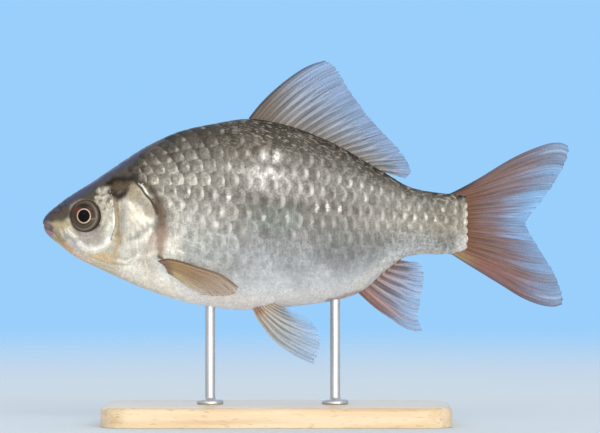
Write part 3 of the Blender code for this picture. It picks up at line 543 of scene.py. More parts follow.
def paint_head(brush):
    """The markings of the head, from the ground colours up."""
    station = brush.station
    height = brush.height
    head = 1 - smooth(28, 33, station - 0.25 * np.abs(height + 2))
    head = head * (1 - smooth(11, 13.5, height) * smooth(19, 23, station))
    brush.lay(head * 0.9, "#c6bda9", 0.45)
    low = smooth(2.5, -1.8, height - (belly(station) + 3.6))
    brush.lay(head * low * 0.9, "#cfc2ab", 0.05)
    above = np.sign(height - crown_edge(station))
    ragged = waves(station, height, 1.5, 43) * 0.5 * smooth(14.5, 17, station)
    crown = smooth(-0.9, 0.7, above * line_distance(station, height, CROWN_EDGE) + ragged)
    crown = crown * (1 - smooth(27, 36, station))
    brush.lay(crown, "#4f4a42", 0.1)
    brush.lay(crown * smooth(0, 1.3, waves(station, height, 2.4, 45)) * 0.4, "#5f524c")
    gap = back(station) - height
    fade = 1 - smooth(30, 40, station)
    # bluish band: a painted reflection of the blue backdrop along the line of the back; then the back's own
    # dark edge
    brush.lay(crown * smooth(3.3, 0.9, gap) * fade, "#444c69", 0.1)
    brush.lay(smooth(0.8, 0.15, gap) * fade * 0.85, "#2e3038")
    # dark rim of the eye, with a thin lilac line in front
    rim = np.hypot(station - 12.9, height - 1.7)
    brush.lay(0.75 * smooth(5.7, 5.1, rim), "#6f6657", 0)
    brush.lay(0.8 * smooth(5.2, 4.7, rim), "#544c40", 0)
    brush.lay(0.4 * bell(rim - 5.0, 0.2) * smooth(13, 10, station), "#8f8896", 0)
    for code, strength, half, soft, silver, points in HEAD_MARKS:
        brush.stroke(points, half, code, strength, soft, silver)
    # flecks of bare silver painted bright as highlights on the breast, then blotches of dark skin and silver
    # behind the eye
    breast = smooth(5.5, 2, line_distance(station, height, [(26.5, -14), (37, -18)]))
    brush.lay(smooth(0.3, 1.1, waves(station, height, 1.3, 46)) * breast * 0.5, "#fbf8f0")
    wedge = smooth(1.25, 0.8, np.hypot((station - 18.4) / 3.0, (height - 5.0) / 6.2)) * (1 - crown)
    dense = 0.6 * smooth(9, 1, height)
    brush.lay(smooth(dense, dense + 0.7, waves(station, height, 1.9, 41)) * wedge * 0.7, "#5d564c")
    brush.lay(smooth(0.5, 1.2, waves(station, height, 1.2, 44)) * wedge * 0.45, "#e6dfd2")


# Painted highlight on the upper flank (the first four), then patches of the flank, pale breast and tail:
# centre, radii, colour, strength, softness, turn in degrees and silver
BODY_PATCHES_AND_HIGHLIGHTS = [
    # painted highlight on the upper flank: a broad sheen, the dashes above it and two bright blobs
    ((67, 13.6), (9, 3.4), "#cbc7c1", 0.5, 0.5, -5, None),
    ((68, 19.2), (5.5, 1.3), "#b5b1aa", 0.5, 0.9, -3, None),
    ((66.4, 19.9), (0.9, 1.6), "#f1eee9", 0.75, 0.8, 0, None),
    ((70.1, 19.4), (1, 1.6), "#f4f1ec", 0.8, 0.8, 0, None),
    ((73, 9), (11, 3), "#aeaba6", 0.4, 0.5, -8, None),
    ((70, 1), (7.5, 3.6), "#6c7d74", 0.4, 0.5, 0, None),
    ((43, -19), (9, 3), "#f2f4f8", 0.6, 0.5, -14, 0.1),
    ((120.5, -1), (4.8, 7.5), "#655e54", 0.6, 0.5, 0, None),
]
HEAD_END = 42


def paint_fish(station, height):
    """Colour and silver share at places on the fish, the same for its skin, gill covers and scales."""
    shift = waves(station, height, 5, 11) * 0.22
    lift = waves(station, height, 4.2, 12) * 0.22
    share = hide.share_of(np.clip(station, 0, BODY_LENGTH), height)
    colour = body_tone(station, share + waves(station, height, 9, 13) * 0.012)
    silver = 0.5 * smooth(0.96, 0.8, share) * smooth(-0.05, 0.15, share)
    brush = Brush(station + shift, height + lift, colour, silver)
    for count, (centre, radii, *look) in enumerate(BODY_PATCHES_AND_HIGHLIGHTS):
        brush.spot(centre, radii, *look)
        if count == 0:
            # the brightest painted highlight, broken up
            painted_gleam = 1 - smooth(0.5, 1.3, np.hypot((station - 67) / 5.6, (height - 14.5) / 2))
            brush.lay(painted_gleam * smooth(-0.7, 0.8, waves(station, height, 3, 14)) * 0.7, "#f4f1ec", 0.3)
    # pale base of the anal fin, and the vent in front of it
    brush.stroke([(95, -18.4), (100.5, -14.6), (106, -10.6)], 1.7, "#d3d0c5", 0.6, soft=0.9)
    brush.stroke([(85, -23.9), (94.5, -21)], 0.6, "#8c5b53", 0.6, soft=0.9)
    near = np.nonzero(station < HEAD_END)[0]
    head = Brush(brush.station[near], brush.height[near], colour[near], silver[near])
    paint_head(head)
    colour[near] = head.colour
    silver[near] = head.silver
    return np.clip(colour, 0, 1), silver


MOUTH_LINE = [(-0.4, -0.75), (0, -1.0), (1.5, -2.1), (3.3, -3.35)]
CHEEK_EDGE = [
    (20.2, 9.2), (20.85, 6.4), (21.75, 1.5), (21.5, -2.4), (20.6, -5.6), (18.6, -7.8), (15, -8.9),
    (10.8, -8.2),
]
cheek_rim = Profile([(height, station) for station, height in CHEEK_EDGE[6::-1]])


# Grooves and ridges of the head: how far they rise, how wide they are, and the line they follow
HEAD_LINES = [
    # corner of the mouth, and folds of the upper jaw
    (-0.3, 0.3, [(3.3, -3.35), (3.9, -4.2), (4.2, -5.2)]),
    (-0.1, 0.28, [(5.2, 0.2), (6.1, -2.6), (6.4, -5.2)]),
    (0.12, 0.6, [(4.4, -0.6), (5.2, -3), (5.6, -5)]),
    (-0.14, 0.3, [(7.2, -2.2), (7.8, -4.2), (9.4, -6.4)]),
    # nostrils
    (-0.5, 0.55, [(5, 4.15)]),
    (-0.5, 0.68, [(6.6, 5.1)]),
    # folds of the throat, where the gill membranes meet, and of the nape
    (-0.2, 0.35, [(26, -13.2), (20, -12.6), (14, -10.6)]),
    (-0.12, 0.3, [(22, -14.6), (16, -12.4), (11, -9.8)]),
    (-0.1, 0.4, [(20.5, 10.9), (23.6, 12.8), (27.4, 13.2), (31, 11.6)]),
]
# Rings round the eye, and the lips on both sides of the mouth line: how far out, how wide, how high
EYE_RINGS = [(5.5, 0.6, 0.1)]
LOWER_EYE_RINGS = [(6.2, 0.4, -0.12), (7.6, 0.9, 0.18)]
LIPS = [(0.75, 0.6, 0.05), (-0.85, 0.6, 0.1), (1.75, 0.4, -0.05), (-1.95, 0.45, -0.08), (0, 0.26, -0.22)]
EYE_SHIFT = 0.2


def rings(away, table):
    return sum(rise * bell(away - middle, width) for middle, width, rise in table)


def skin_relief(station, height):
    """How far the skin of the head stands above or below the smooth body, in millimetres."""
    lift = waves(station, height, 2.6, 21) * 0.03 * smooth(44, 30, station)
    across = (height - np.interp(station, *np.array(MOUTH_LINE).T)) * 0.82
    lift = lift + (1 - smooth(2.9, 3.7, station)) * rings(across, LIPS)
    for rise, half, points in HEAD_LINES:
        lift = lift + rise * bell(line_distance(station, height, points), half)
    # flap between the nostrils
    lift = lift + 0.35 * bell(np.hypot((station - 5.75) / 0.7, height - 4.65), 0.5)
    away = np.hypot(station - EYE_STATION - EYE_SHIFT, height - EYE_HEIGHT)
    lift = lift + rings(away, EYE_RINGS) - 1.9 * (1 - smooth(4.1, 4.95, away))
    below = smooth(1.5, -2, height) * (1 - smooth(19, 22, station))
    lift = lift + rings(away, LOWER_EYE_RINGS) * below
    # plate of the cheek, with a step at its rear edge
    edge = line_distance(station, height, CHEEK_EDGE)
    inside = (station < cheek_rim(height)) & (height > -8.9)
    reach = smooth(10, 12.5, height) + smooth(11.5, 9.5, station) * (height < 0)
    plate = np.where(inside, 0.3 * np.exp(-edge / 1.6), -0.2 * np.exp(-edge / 0.5))
    lift = lift + plate * (1 - np.clip(reach, 0, 1)) * smooth(0, 0.18, edge + 0.12)
    # deeper under the gill cover, with a gutter behind its free edge
    gutter = line_distance(station, height, GILL_REAR)
    lift = lift - 0.22 * bell(gutter - 0.35, 0.5) * smooth(24, 27, station)
    return lift - 0.3 * bell((station - 27.6) / 4.6, 1) * bell((height + 0.6) / 8, 1)


# Where the scales begin behind the head, by height
SCALE_START = [
    (-27, 31), (-18, 33), (-13, 36.5), (-9, 38.2), (-4, 38.2), (1, 37.4), (6, 35.8), (9, 33.6),
    (11.5, 31.2), (13.3, 28.4), (14.4, 26.7), (16.8, 26.9), (19.4, 28.9), (22, 32), (30, 42),
]
scale_start = Profile(SCALE_START)


def tail_corner(height):
    """How much earlier the scales end at the upper and lower corners of the tail."""
    return 3.6 * smooth(5.4, 9.8, -height) + 2.6 * smooth(4.6, 8.6, height)


def skin_stations():
    """Stations of the skin's rings, close together where the head has its detail."""
    spacing = Profile(SKIN_SPACING)
    stations = [0.0]
    while stations[-1] < SKIN_END:
        stations.append(stations[-1] + float(spacing(stations[-1])))
    return np.array(stations) * SKIN_END / stations[-1]


CAP_RINGS = 5
SNOUT_CAP_REACH = 0.15
TAIL_CAP_REACH = 0.3
SKIN_END = 126
RELIEF_END = 46


def paint_flesh(piece):
    """Keeps the fish's own colours on a piece of its skin."""
    at, _, high = corners(piece.data)
    colour, silver = paint_fish(at, high)
    store(piece.data, colour, silver=silver, mottle=np.ones(len(silver)))


def fish_skin(material):
    """One closed skin from the lips to the root of the tail fin."""
    stations = skin_stations()
    ease = np.sin(np.linspace(0, math.pi / 2, CAP_RINGS + 1))[:-1]
    close = 1 - np.cos(np.linspace(0, math.pi / 2, CAP_RINGS + 1))[:-1]
    at = np.concatenate([np.zeros(CAP_RINGS), stations, np.full(CAP_RINGS, SKIN_END)])
    shrink = np.concatenate([ease, np.ones(len(stations)), ease[::-1]])
    push = np.concatenate([
        -SNOUT_CAP_REACH * (1 - close), np.zeros(len(stations)), TAIL_CAP_REACH * (1 - close[::-1]),
    ])
    bm = bmesh.new()
    bmesh.ops.create_grid(bm, x_segments=len(at) - 1, y_segments=SKIN_RING, size=0.5)
    grid = np.array([vert.co for vert in bm.verts])
    column = np.round((grid[:, 0] + 0.5) * (len(at) - 1)).astype(int)
    turn = grid[:, 1] + 0.5
    share = 1 - np.abs(2 * turn - 1)
    side = np.where(turn < 0.5, -1.0, 1.0)
    station = at[column]
    _, height = hide(station, share)
    inset = -SCALE_DEPTH * smooth(-3.4, 0.3, station - scale_start(height))
    relief = np.where(station < RELIEF_END, skin_relief(station, height), 0)
    spots = hide.lifted(station, share, side, (inset + relief) * shrink[column])
    middle = AXIS_HEIGHT + widest_height(station)
    spots[:, 0] += push[column] * MM
    spots[:, 1] *= shrink[column]
    spots[:, 0] -= tail_corner(height) * smooth(116, SKIN_END, station) * MM
    tall = np.where(column < CAP_RINGS, shrink[column], 1)
    spots[:, 2] = middle * MM + (spots[:, 2] - middle * MM) * tall
    seam = (turn < 1e-6) | (turn > 1 - 1e-6) | (np.abs(turn - 0.5) < 1e-6)
    spots[seam, 1] = 0
    set_spots(bm, spots)
    bmesh.ops.remove_doubles(bm, verts=bm.verts, dist=WELD_DISTANCE * MM)
    bmesh.ops.holes_fill(bm, edges=[edge for edge in bm.edges if edge.is_boundary])
    skin = mesh_object("fish_skin", bm)
    paint_flesh(skin)
    finish_piece(skin, material, "head_skin", "head", "lower_jaw", "trunk", "tail_stem")


def patch(low, high, left, right, u, v, fade=1):
    """Points between four edges that share their corners; the sides' bows fade across the patch."""
    left_bow = left(v) - ((1 - v)[:, None] * left(0) + v[:, None] * left(1))
    right_bow = right(v) - ((1 - v)[:, None] * right(0) + v[:, None] * right(1))
    u = u[:, None]
    v = v[:, None]
    across = (1 - v) * low(u[:, 0]) + v * high(u[:, 0])
    return across + (1 - u) ** fade * left_bow + u**fade * right_bow


def doubled_grid(columns, rows, plain_back=False):
    """A grid with a second layer joined round its rim: the mesh, its u and v, and which layer."""
    bm = bmesh.new()
    bmesh.ops.create_grid(bm, x_segments=columns, y_segments=rows, size=0.5)
    inner = bm.faces[:]
    grown = bmesh.ops.extrude_face_region(bm, geom=inner, use_keep_orig=True)
    outer = [item for item in grown["geom"] if isinstance(item, bmesh.types.BMVert)]
    bmesh.ops.translate(bm, verts=outer, vec=(0, 0, 1))
    if plain_back:
        bmesh.ops.dissolve_faces(bm, faces=inner)
    grid = np.array([vert.co for vert in bm.verts])
    return bm, grid[:, 0] + 0.5, grid[:, 1] + 0.5, grid[:, 2] * 2 - 1


GILL_COLUMNS = 70
GILL_ROWS = 96
GILL_EDGE_THICKNESS = 0.25
GILL_SINK = 0.45
GILL_PROUD = 0.42


def gill_cover(word, side, material):
    """The bony plate over the gills: sunk into the skin in front, free and raised behind."""
    bottom_front = np.array(GILL_FRONT[0], dtype=float)
    bottom_rear = np.array(GILL_REAR[0], dtype=float)
    low = Path([bottom_front, (bottom_front + bottom_rear) / 2 - (0, GILL_LOWER_BOW), bottom_rear])
    bm, u, v, layer = doubled_grid(GILL_COLUMNS, GILL_ROWS)
    u = 1 - (1 - u) ** 1.25
    spot = patch(low, Path(GILL_TOP), Path(GILL_FRONT), Path(GILL_REAR), u, v)
    station = spot[:, 0]
    height = spot[:, 1]
    rim = np.minimum(smooth(0, 0.1, v), smooth(0, 0.07, 1 - v))
    lift = -GILL_SINK + (GILL_SINK + GILL_PROUD) * np.minimum(smooth(0, 0.22, u) * 0.62 + u * 0.38, 1)
    lift = -GILL_SINK + (lift + GILL_SINK) * (0.35 + 0.65 * rim)
    bulge = bell(np.hypot((station - 28) / 4.2, (height - 1.6) / 5.2), 1)
    dent = line_distance(station, height, [(26, 8), (30.5, 3), (31.6, -3)])
    lift = lift + 0.35 * bulge - 0.1 * bell(dent, 0.5)
    rays = np.sin(np.arctan2(height - 7.5, station - 23.2) * 34) * 0.025 * smooth(0.15, 0.5, u)
    lift = lift + rays * (layer > 0) + waves(station, height, 1.6, 31) * 0.02
    curl = smooth(0.75, 1, u) * 0.24
    outer = lift - curl
    inner = lift - GILL_EDGE_THICKNESS * (0.55 + 0.45 * smooth(1, 0.9, u)) - curl * 0.4
    depth = side_depth(station, height)
    along, up = side_slope(station, height, 0.3)
    normal = np.stack([-along, np.ones(len(u)), -up], axis=1)
    normal = normal / np.linalg.norm(normal, axis=1, keepdims=True)
    reach = np.where(layer > 0, outer, inner)[:, None] * normal
    set_spots(bm, place(station + reach[:, 0], side * (depth + reach[:, 1]), height + reach[:, 2]))
    plate = mesh_object(f"gill_plate_{word}", bm)
    paint_flesh(plate)
    finish_piece(plate, material, "gill_cover", f"gill_cover_{word}")


SCALE_GRID = (6, 6)
SCALE_HALF_LENGTH = 0.93
SCALE_HALF_HEIGHT = 0.78
ROW_SQUEEZE = 0.02
SCALE_THICKNESS = 0.07
EDGE_LIFT = 0.1
BEAD_LIFT = 0.2
BEAD_ROUND = 0.22
BAKE_PATCH = 0.003
BAKE_REACH = 0.2375
FIRST_SEAT = 20.0
LAST_SEAT = 125.1
ROWS_EACH_WAY = 11
TAIL_ROW_HEIGHT = 1.9


def last_station(row):
    """Where a row of scales ends at the root of the tail fin."""
    return LAST_SEAT - tail_corner(float(lateral_line(LAST_SEAT)) + row * TAIL_ROW_HEIGHT)


def scale_seats():
    """Station, row, spacing along and across, for every scale of one side."""
    stations = [FIRST_SEAT]
    while stations[-1] < BODY_LENGTH + 4:
        stations.append(stations[-1] + float(scale_length(stations[-1])))
    counts = np.arange(len(stations))
    seats = []
    for row in range(-ROWS_EACH_WAY, ROWS_EACH_WAY + 1):
        along = np.interp(np.arange(0, len(stations) - 1, 1.0) + 0.5 * (row % 2), counts, stations)
        last = last_station(row)
        along = along + (last - along[along <= last].max() - 0.05) * smooth(last - 14, last, along)
        seats += [(station, row) for station in along]
    station, row = np.array(seats).T
    on_body = np.minimum(station, BODY_LENGTH)
    line = hide.share_of(on_body, lateral_line(on_body))
    rise = row * (1 - ROW_SQUEEZE * np.maximum(row, 0)) * row_height(on_body)
    share = line + rise / hide.girth_at(on_body)
    _, height = hide(on_body, np.clip(share, 0, 1))
    keep = (share > 0.015) & (share < 0.985) & (station < last_station(row))
    keep &= station > scale_start(height)
    return station[keep], row[keep]


def scales(word, side, material):
    """All scales of one side as thin closed plates, roots sunk in the skin and rear edges free."""
    draw = np.random.default_rng(5 if side < 0 else 6)
    seat_station, seat_row = scale_seats()
    template, u, v, layer = doubled_grid(*SCALE_GRID, plain_back=True)
    bmesh.ops.recalc_face_normals(template, faces=template.faces)
    mesh = bpy.data.meshes.new("scale_template")
    template.to_mesh(mesh)
    template.free()
    bm = bmesh.new()
    for _ in seat_station:
        bm.from_mesh(mesh)
    bpy.data.meshes.remove(mesh)
    a = 2 * u - 1
    b = 2 * v - 1
    x = a * np.sqrt(1 - b * b / 2)
    y = b * np.sqrt(1 - a * a / 2)
    count = len(seat_station)
    pitch = scale_length(seat_station)
    upward = np.maximum(seat_row, 0) * ROW_SQUEEZE
    tall = row_height(seat_station) * (1 - 2 * upward)
    size = draw.uniform(0.95, 1.06, count)
    station = seat_station[:, None] + x * (pitch * SCALE_HALF_LENGTH * size)[:, None]
    on_body = np.minimum(station, BODY_LENGTH)
    line = hide.share_of(on_body.ravel(), lateral_line(on_body).ravel()).reshape(station.shape)
    rise = seat_row * (1 - upward) * row_height(seat_station)
    across = rise[:, None] + y * (tall * SCALE_HALF_HEIGHT * size)[:, None]
    share = line + across / hide.girth_at(on_body)
    # low and nearly flush on the flank, domed like beads on the nape
    bead = smooth(0.55, 0.75, share) * smooth(66, 40, station)
    proud = EDGE_LIFT * (0.7 + 0.3 * smooth(0.2, 0.55, share)) + BEAD_LIFT * bead
    lift = proud * ((x + 1) / 2) ** 0.8 - SCALE_DEPTH
    lift = lift - 0.04 * np.abs(y) ** 3 - (0.03 + BEAD_ROUND * bead) * smooth(0.35, 1.05, np.hypot(x, y))
    lean = draw.normal(0, 0.018, count)[:, None] * y + draw.normal(0, 0.01, count)[:, None] * x
    lift = lift + lean + np.where(layer > 0, 0, -SCALE_THICKNESS)
    beyond = np.maximum(station - BODY_LENGTH, 0)

    def flat(values):
        return np.broadcast_to(values, station.shape).ravel()

    spots = hide.lifted(flat(on_body), flat(share), flat(np.full(1, float(side))), flat(lift))
    spots[:, 0] += flat(beyond) * MM
    spots[:, 1] -= side * np.minimum(flat(beyond) * 0.15, 0.4) * MM
    set_spots(bm, spots)
    coat = mesh_object(f"scales_{word}", bm, 40)
    colour, marks = scale_colours(coat.data, flat, x, y, seat_row, count, draw)
    store(coat.data, colour, **marks)
    # narrower marks towards the tail, and a little out of place on every scale
    squeeze = 1 + 0.2 * smooth(80, 100, seat_station)[:, None]
    along_scale = 0.7 + (u - 0.7) * squeeze + draw.normal(0, 0.025, count)[:, None]
    up_scale = v + draw.normal(0, 0.05, count)[:, None] + draw.normal(0, 0.12, count)[:, None] * (u - 0.7)
    uv_map(coat.data, "scale_place", np.stack([flat(along_scale), flat(up_scale)], axis=1))
    root = np.stack([seat_station / BODY_LENGTH, np.full(count, 0.25 if side < 0 else 0.75)], axis=1)
    root[:, 1] -= side * BAKE_REACH * (2 * share[:, 0] - 1)
    places = root[:, None, :] + BAKE_PATCH / 2 * np.stack([x, y], axis=-1)[None]
    uv_map(coat.data, "OFBake", places.reshape(-1, 2))
    finish_piece(coat, material, "back_skin")


def uv_map(mesh, name, places):
    """A UV map from a place for each corner of the mesh."""
    corner = np.empty(len(mesh.loops), dtype=np.int32)
    mesh.loops.foreach_get("vertex_index", corner)
    layer = mesh.uv_layers.new(name=name)
    layer.data.foreach_set("uv", places[corner].astype(np.float32).ravel())


def scale_colours(mesh, flat, x, y, row, count, draw):
    """The skin's markings with each scale's own tone, and how strong its painted highlight streak, its dusk
    and the painted shadow in its gap are.
    """
    station, _, height = corners(mesh)
    colour, silver = paint_fish(station, height)
    tone = flat(draw.normal(1, 0.07, count)[:, None])
    painted_glint = flat(draw.uniform(0.05, 1, count)[:, None])
    dusk = flat(draw.uniform(0.4, 1.1, count)[:, None])
    gap = flat(draw.uniform(0.5, 1.2, count)[:, None])
    x = flat(x)
    y = flat(y)
    share = hide.share_of(np.clip(station, 0, BODY_LENGTH), height)
    lower = smooth(0.12, 0.34, share)
    upper = smooth(0.34, 0.6, share) * smooth(0.99, 0.93, share)
    near = smooth(0.74, 0.86, share)
    front = smooth(66, 54, station)
    rear = smooth(72, 88, station)
    bead = smooth(0.55, 0.72, share) * smooth(66, 42, station)
    # darker rims on the flank, and pores along the lateral line
    shade = 1 + 0.2 * smooth(0.55, 1.0, np.hypot(x, y)) * (1 - bead) * smooth(0.25, 0.45, share)
    pored = (flat(row[:, None]) == 0) * bell(y, 0.16) * bell(x - 0.3, 0.3)
    tone = 1 + (tone - 1) * (0.2 + 1.1 * lower)
    dim = 1 - 0.14 * smooth(0.7, 0.86, share) * smooth(50, 62, station)
    colour = colour * (tone * shade * dim * (1 - 0.35 * pored))[:, None]
    # pale rims on the last scales before the tail fin
    rims = np.maximum(smooth(0.45, 0.95, x) * smooth(121, 125.5, station), 0.3 * smooth(123, 124.5, station))
    rims = rims * smooth(0.93, 0.85, share)
    colour = colour + (linear("#c9bfb1") - colour) * (rims * 0.42)[:, None]
    # painted highlight streaks in front of the painted sheen and above it, weaker towards the tail and the
    # back
    painted_streak = painted_glint ** (2.2 - 1.3 * front - rear) * (0.1 + 0.9 * upper) * (0.55 + 0.45 * front + 0.25 * rear)
    dusky = (0.08 + 0.37 * lower + 0.55 * upper * (1 - 0.6 * bead)) * (1 - 0.8 * smooth(119, 123, station))
    mottle = 0.4 + 0.6 * smooth(60, 74, station) * smooth(0.4, 0.55, share) + 0.6 * smooth(0.2, 0.5, share)
    mottle = mottle + smooth(0.6, 0.85, share)
    mottle = mottle + 0.5 * smooth(96, 108, station) + 0.5 * smooth(112, 122, station)
    marks = {
        "silver": silver,
        "painted_glint": painted_streak * (1 - 0.6 * near),
        "dusk": dusk * dusky,
        # painted shadow in the gaps between scales, strongest on the beaded nape
        "gap": np.clip(0.1 * lower + 0.25 * upper + 0.22 * bead, 0, 0.9) * gap,
        "painted_back_glint": near * smooth(0.985, 0.95, share) * smooth(46, 64, station),
        "mottle": mottle,
    }
    return np.clip(colour, 0, 1), marks


# Fins, as in the solids: edge nearest the head or outermost, free margin, last ray and root
FINS = {
    "dorsal_fin": {
        "lead": [(61.4, 31), (65.5, 36), (71.2, 41.3), (77, 45.5), (80.8, 47.4), (84.3, 48.5)],
        "margin": [
            (84.3, 48.5), (86.5, 47.4), (88.9, 44.3), (92.3, 38.6), (99.2, 29.6), (103.8, 24.8),
            (107.3, 21), (109.5, 17.2), (110.1, 14.9), (108.4, 13.1),
        ],
        "trail": [(102.8, 14.7), (108.4, 13.1)],
        "root": [(61.4, 31), (73.1, 29), (86.6, 23.8), (95, 19.2), (102.8, 14.7)],
        "sink": (0, 0, -2.2),
        "lag": 1.1,
    },
    "tail_fin_upper": {
        "lead": [
            (121.5, 8.3), (125.1, 10.1), (130.2, 12.9), (141.5, 19.6), (150.6, 23.3), (155, 23.8),
            (157.3, 22.9),
        ],
        "margin": [(157.3, 22.9), (157.5, 21.1), (155.3, 15.3), (149.9, 6.9), (146.9, 3.2), (144.7, 0.15)],
        "trail": [(126, 0.15), (144.7, 0.15)],
        "root": [(121.5, 8.3), (125.6, 6.4), (126, 3), (126, 0.15)],
        "sink": (-2.2, 0, 0),
        "lag": 0.8,
    },
    "tail_fin_lower": {
        "lead": [
            (121.9, -9.4), (127.3, -12.8), (137.9, -19.3), (143.3, -22.6), (148.7, -24.8), (153.1, -25.4),
            (155.3, -24.8),
        ],
        "margin": [
            (155.3, -24.8), (155.7, -22.2), (153.1, -15.3), (148, -6.9), (145.9, -3.3), (144.5, -0.15),
        ],
        "trail": [(126, -0.15), (144.5, -0.15)],
        "root": [(121.9, -9.4), (125.6, -6.4), (126, -3), (126, -0.15)],
        "sink": (-2.2, 0, 0),
        "lag": 0.8,
    },
    "anal_fin": {
        "lead": [
            (94.4, -21.3), (99.5, -25.8), (104.7, -29.4), (107.5, -31.3), (111.3, -32.8), (113.4, -32.8),
        ],
        "margin": [
            (113.4, -32.8), (112.4, -28.5), (113.8, -19.1), (114, -14.6), (112.6, -12.2), (110, -11.9),
        ],
        "trail": [(107.3, -11.4), (110, -11.9)],
        "root": [(94.4, -21.3), (100, -17.4), (104, -13.9), (107.3, -11.4)],
        "sink": (0, 0, 2),
        "lag": 1.0,
    },
    "pelvic_fin": {
        "lead": [(62.7, -25.9), (65, -30.2), (69.6, -35.7), (75.5, -39.7), (79.1, -41.4), (81, -42.2)],
        "margin": [(81, -42.2), (82.7, -38.5), (82.1, -32.6), (80.2, -30), (75.9, -26.9), (73.8, -26.4)],
        "trail": [(69.4, -24.3), (73.8, -26.4)],
        "root": [(62.7, -25.9), (69.4, -24.3)],
        "sink": (0.6, -1.2, 2.4),
        "side": (3.2, 5, 12.5, 8.5),
        "swell": 2.4,
        "lag": 1.0,
    },
    "pectoral_fin": {
        "lead": [(34.4, -11.5), (38.5, -11.1), (48.4, -13.8), (53, -15.2), (56.5, -17.3), (58.6, -19.1)],
        "margin": [(58.6, -19.1), (57.4, -21.2), (53, -21.9), (47.2, -21.4)],
        "trail": [(38.1, -15.2), (41.1, -17.3), (43.9, -19.6), (47.2, -21.4)],
        "root": [(34.4, -11.5), (36.6, -13), (38.1, -15.2)],
        "sink": (-1.6, -2, 0),
        "side": (10.3, 9.7, 17, 13.5),
        "swell": 2.4,
        "lag": 1.0,
    },
}

# Of each fin: how many rays, how far they bow, and half the thickness of a ray at its root
RAYS = {
    "dorsal_fin": (20, 3.2, 0.3), "tail_fin_upper": (10, 2.8, 0.14), "tail_fin_lower": (10, 2.8, 0.14),
    "anal_fin": (8, 1.5, 0.3), "pelvic_fin": (9, 1, 0.3), "pectoral_fin": (14, 1, 0.28),
}
SPINY = ("dorsal_fin", "anal_fin")
TAIL_GAP = 0.17
STRANDS = 8
FIN_ROWS = 72
FIRST_FORK = 0.18
SECOND_FORK = 0.42
MEMBRANE_HALF = 0.11
SPINE_HALF = 0.75
COLUMN_OFFSETS = (
    -0.5, -0.44, -0.375, -0.31, -0.25, -0.19, -0.125, -0.06, 0, 0.06, 0.125, 0.19, 0.25, 0.31, 0.375, 0.44,
)
TIP_OFFSETS = (-0.375, -0.125, 0.125, 0.375)

# Colours of each fin: rays and skin between them at the root, half way and at the margin
FIN_TONES = {
    "dorsal_fin": ["#938b87", "#98a1b4", "#8897b6", "#726c62", "#737d87", "#6f83a9"],
    "tail_fin_upper": ["#744e36", "#776c76", "#86aed6", "#65432f", "#6a626e", "#7eaad8"],
    "tail_fin_lower": ["#774f36", "#776061", "#7f9cc0", "#694630", "#6b595d", "#7596c0"],
    "anal_fin": ["#9c837a", "#9598a9", "#9cb0cf", "#655250", "#6a6d7c", "#88a1c9"],
    "pelvic_fin": ["#c6b4a1", "#b6b8b9", "#b0c6e0", "#a2927c", "#8b969c", "#97b8dc"],
    "pectoral_fin": ["#b0976a", "#ad9177", "#b6a28d", "#a48859", "#9c7e5d", "#b3a18a"],
}


# Tints laid over the fins in turn: fins, colour, strength, and where, by u from the front and v outwards
FIN_TINTS = [
    ("dorsal", "#66584c", 0.85, lambda u, v: fin_front(u, v)),
    ("anal", "#77584f", 0.85, lambda u, v: fin_front(u, v)),
    ("anal", "#a57b74", 0.7, lambda u, v: bell(u - 0.14, 0.055) * smooth(1, 0.5, v)),
    ("tail_fin_upper", "#735549", 0.55, lambda u, v: smooth(0.4, 0, u) * smooth(0.9, 0.25, v)),
    ("tail_fin_lower", "#875248", 0.55, lambda u, v: smooth(0.4, 0, u) * smooth(0.9, 0.25, v)),
    ("tail_fin_lower", "#97845f", 0.7, lambda u, v: smooth(0.3, 0.05, u) * smooth(0.3, 0.08, v)),
    ("dorsal", "#4f5262", 0.8, lambda u, v: bell(u, 0.016) * smooth(1, 0.8, v)),
    ("pelvic", "#6b4338", 0.7, lambda u, v: bell(u - 0.2, 0.16) * smooth(0.16, 0.06, v)),
    ("pelvic", "#b88a68", 0.4, lambda u, v: smooth(0.25, 0, v) * smooth(0.5, 0.1, u)),
    ("pectoral", "#c3b78f", 0.8, lambda u, v: smooth(0.55, 0.9, u) * smooth(0.95, 0.5, v)),
    ("pectoral", "#876a66", 0.7, lambda u, v: smooth(0.2, 0.06, v)),
    ("pectoral", "#000000", 0.55, lambda u, v: bell(u, 0.04)),
    ("tail", "#c6d4ea", 0.45, lambda u, v: bell(u - 0.05, 0.009) * smooth(0.72, 0.86, v)),
    ("tail", "#474655", 0.8, lambda u, v: bell(u, 0.03) * smooth(0.9, 0.3, v)),
    ("tail_fin_upper", "#2f2b26", 0.9, lambda u, v: smooth(0.14, 0.02, u) * smooth(0.3, 0.08, v)),
]


def fin_front(u, v):
    return np.maximum(smooth(0.3, 0.08, u + 0.3 * v), 0.7 * smooth(0.03, 0, u) * smooth(1, 0.6, v))


def ray_places(kind):
    """Where each ray stands across its fin, as a share of the root, and how stout it is."""
    draw = random.Random(kind)
    count = RAYS[kind][0]
    places = []
    stoutness = []
    for ray in range(count):
        stray = 0 if ray in (0, count - 1) else draw.uniform(-0.1, 0.1)
        places.append((ray + stray) / (count - 1))
        stoutness.append(draw.uniform(0.85, 1))
    return np.array(places), np.array(stoutness)


def forked(offset, v):
    """How far a branch has swung from its ray: a share of its place at the margin."""
    half = np.sign(offset) * 0.25
    return half * smooth(FIRST_FORK, 0.8, v) + (offset - half) * smooth(SECOND_FORK, 0.95, v)


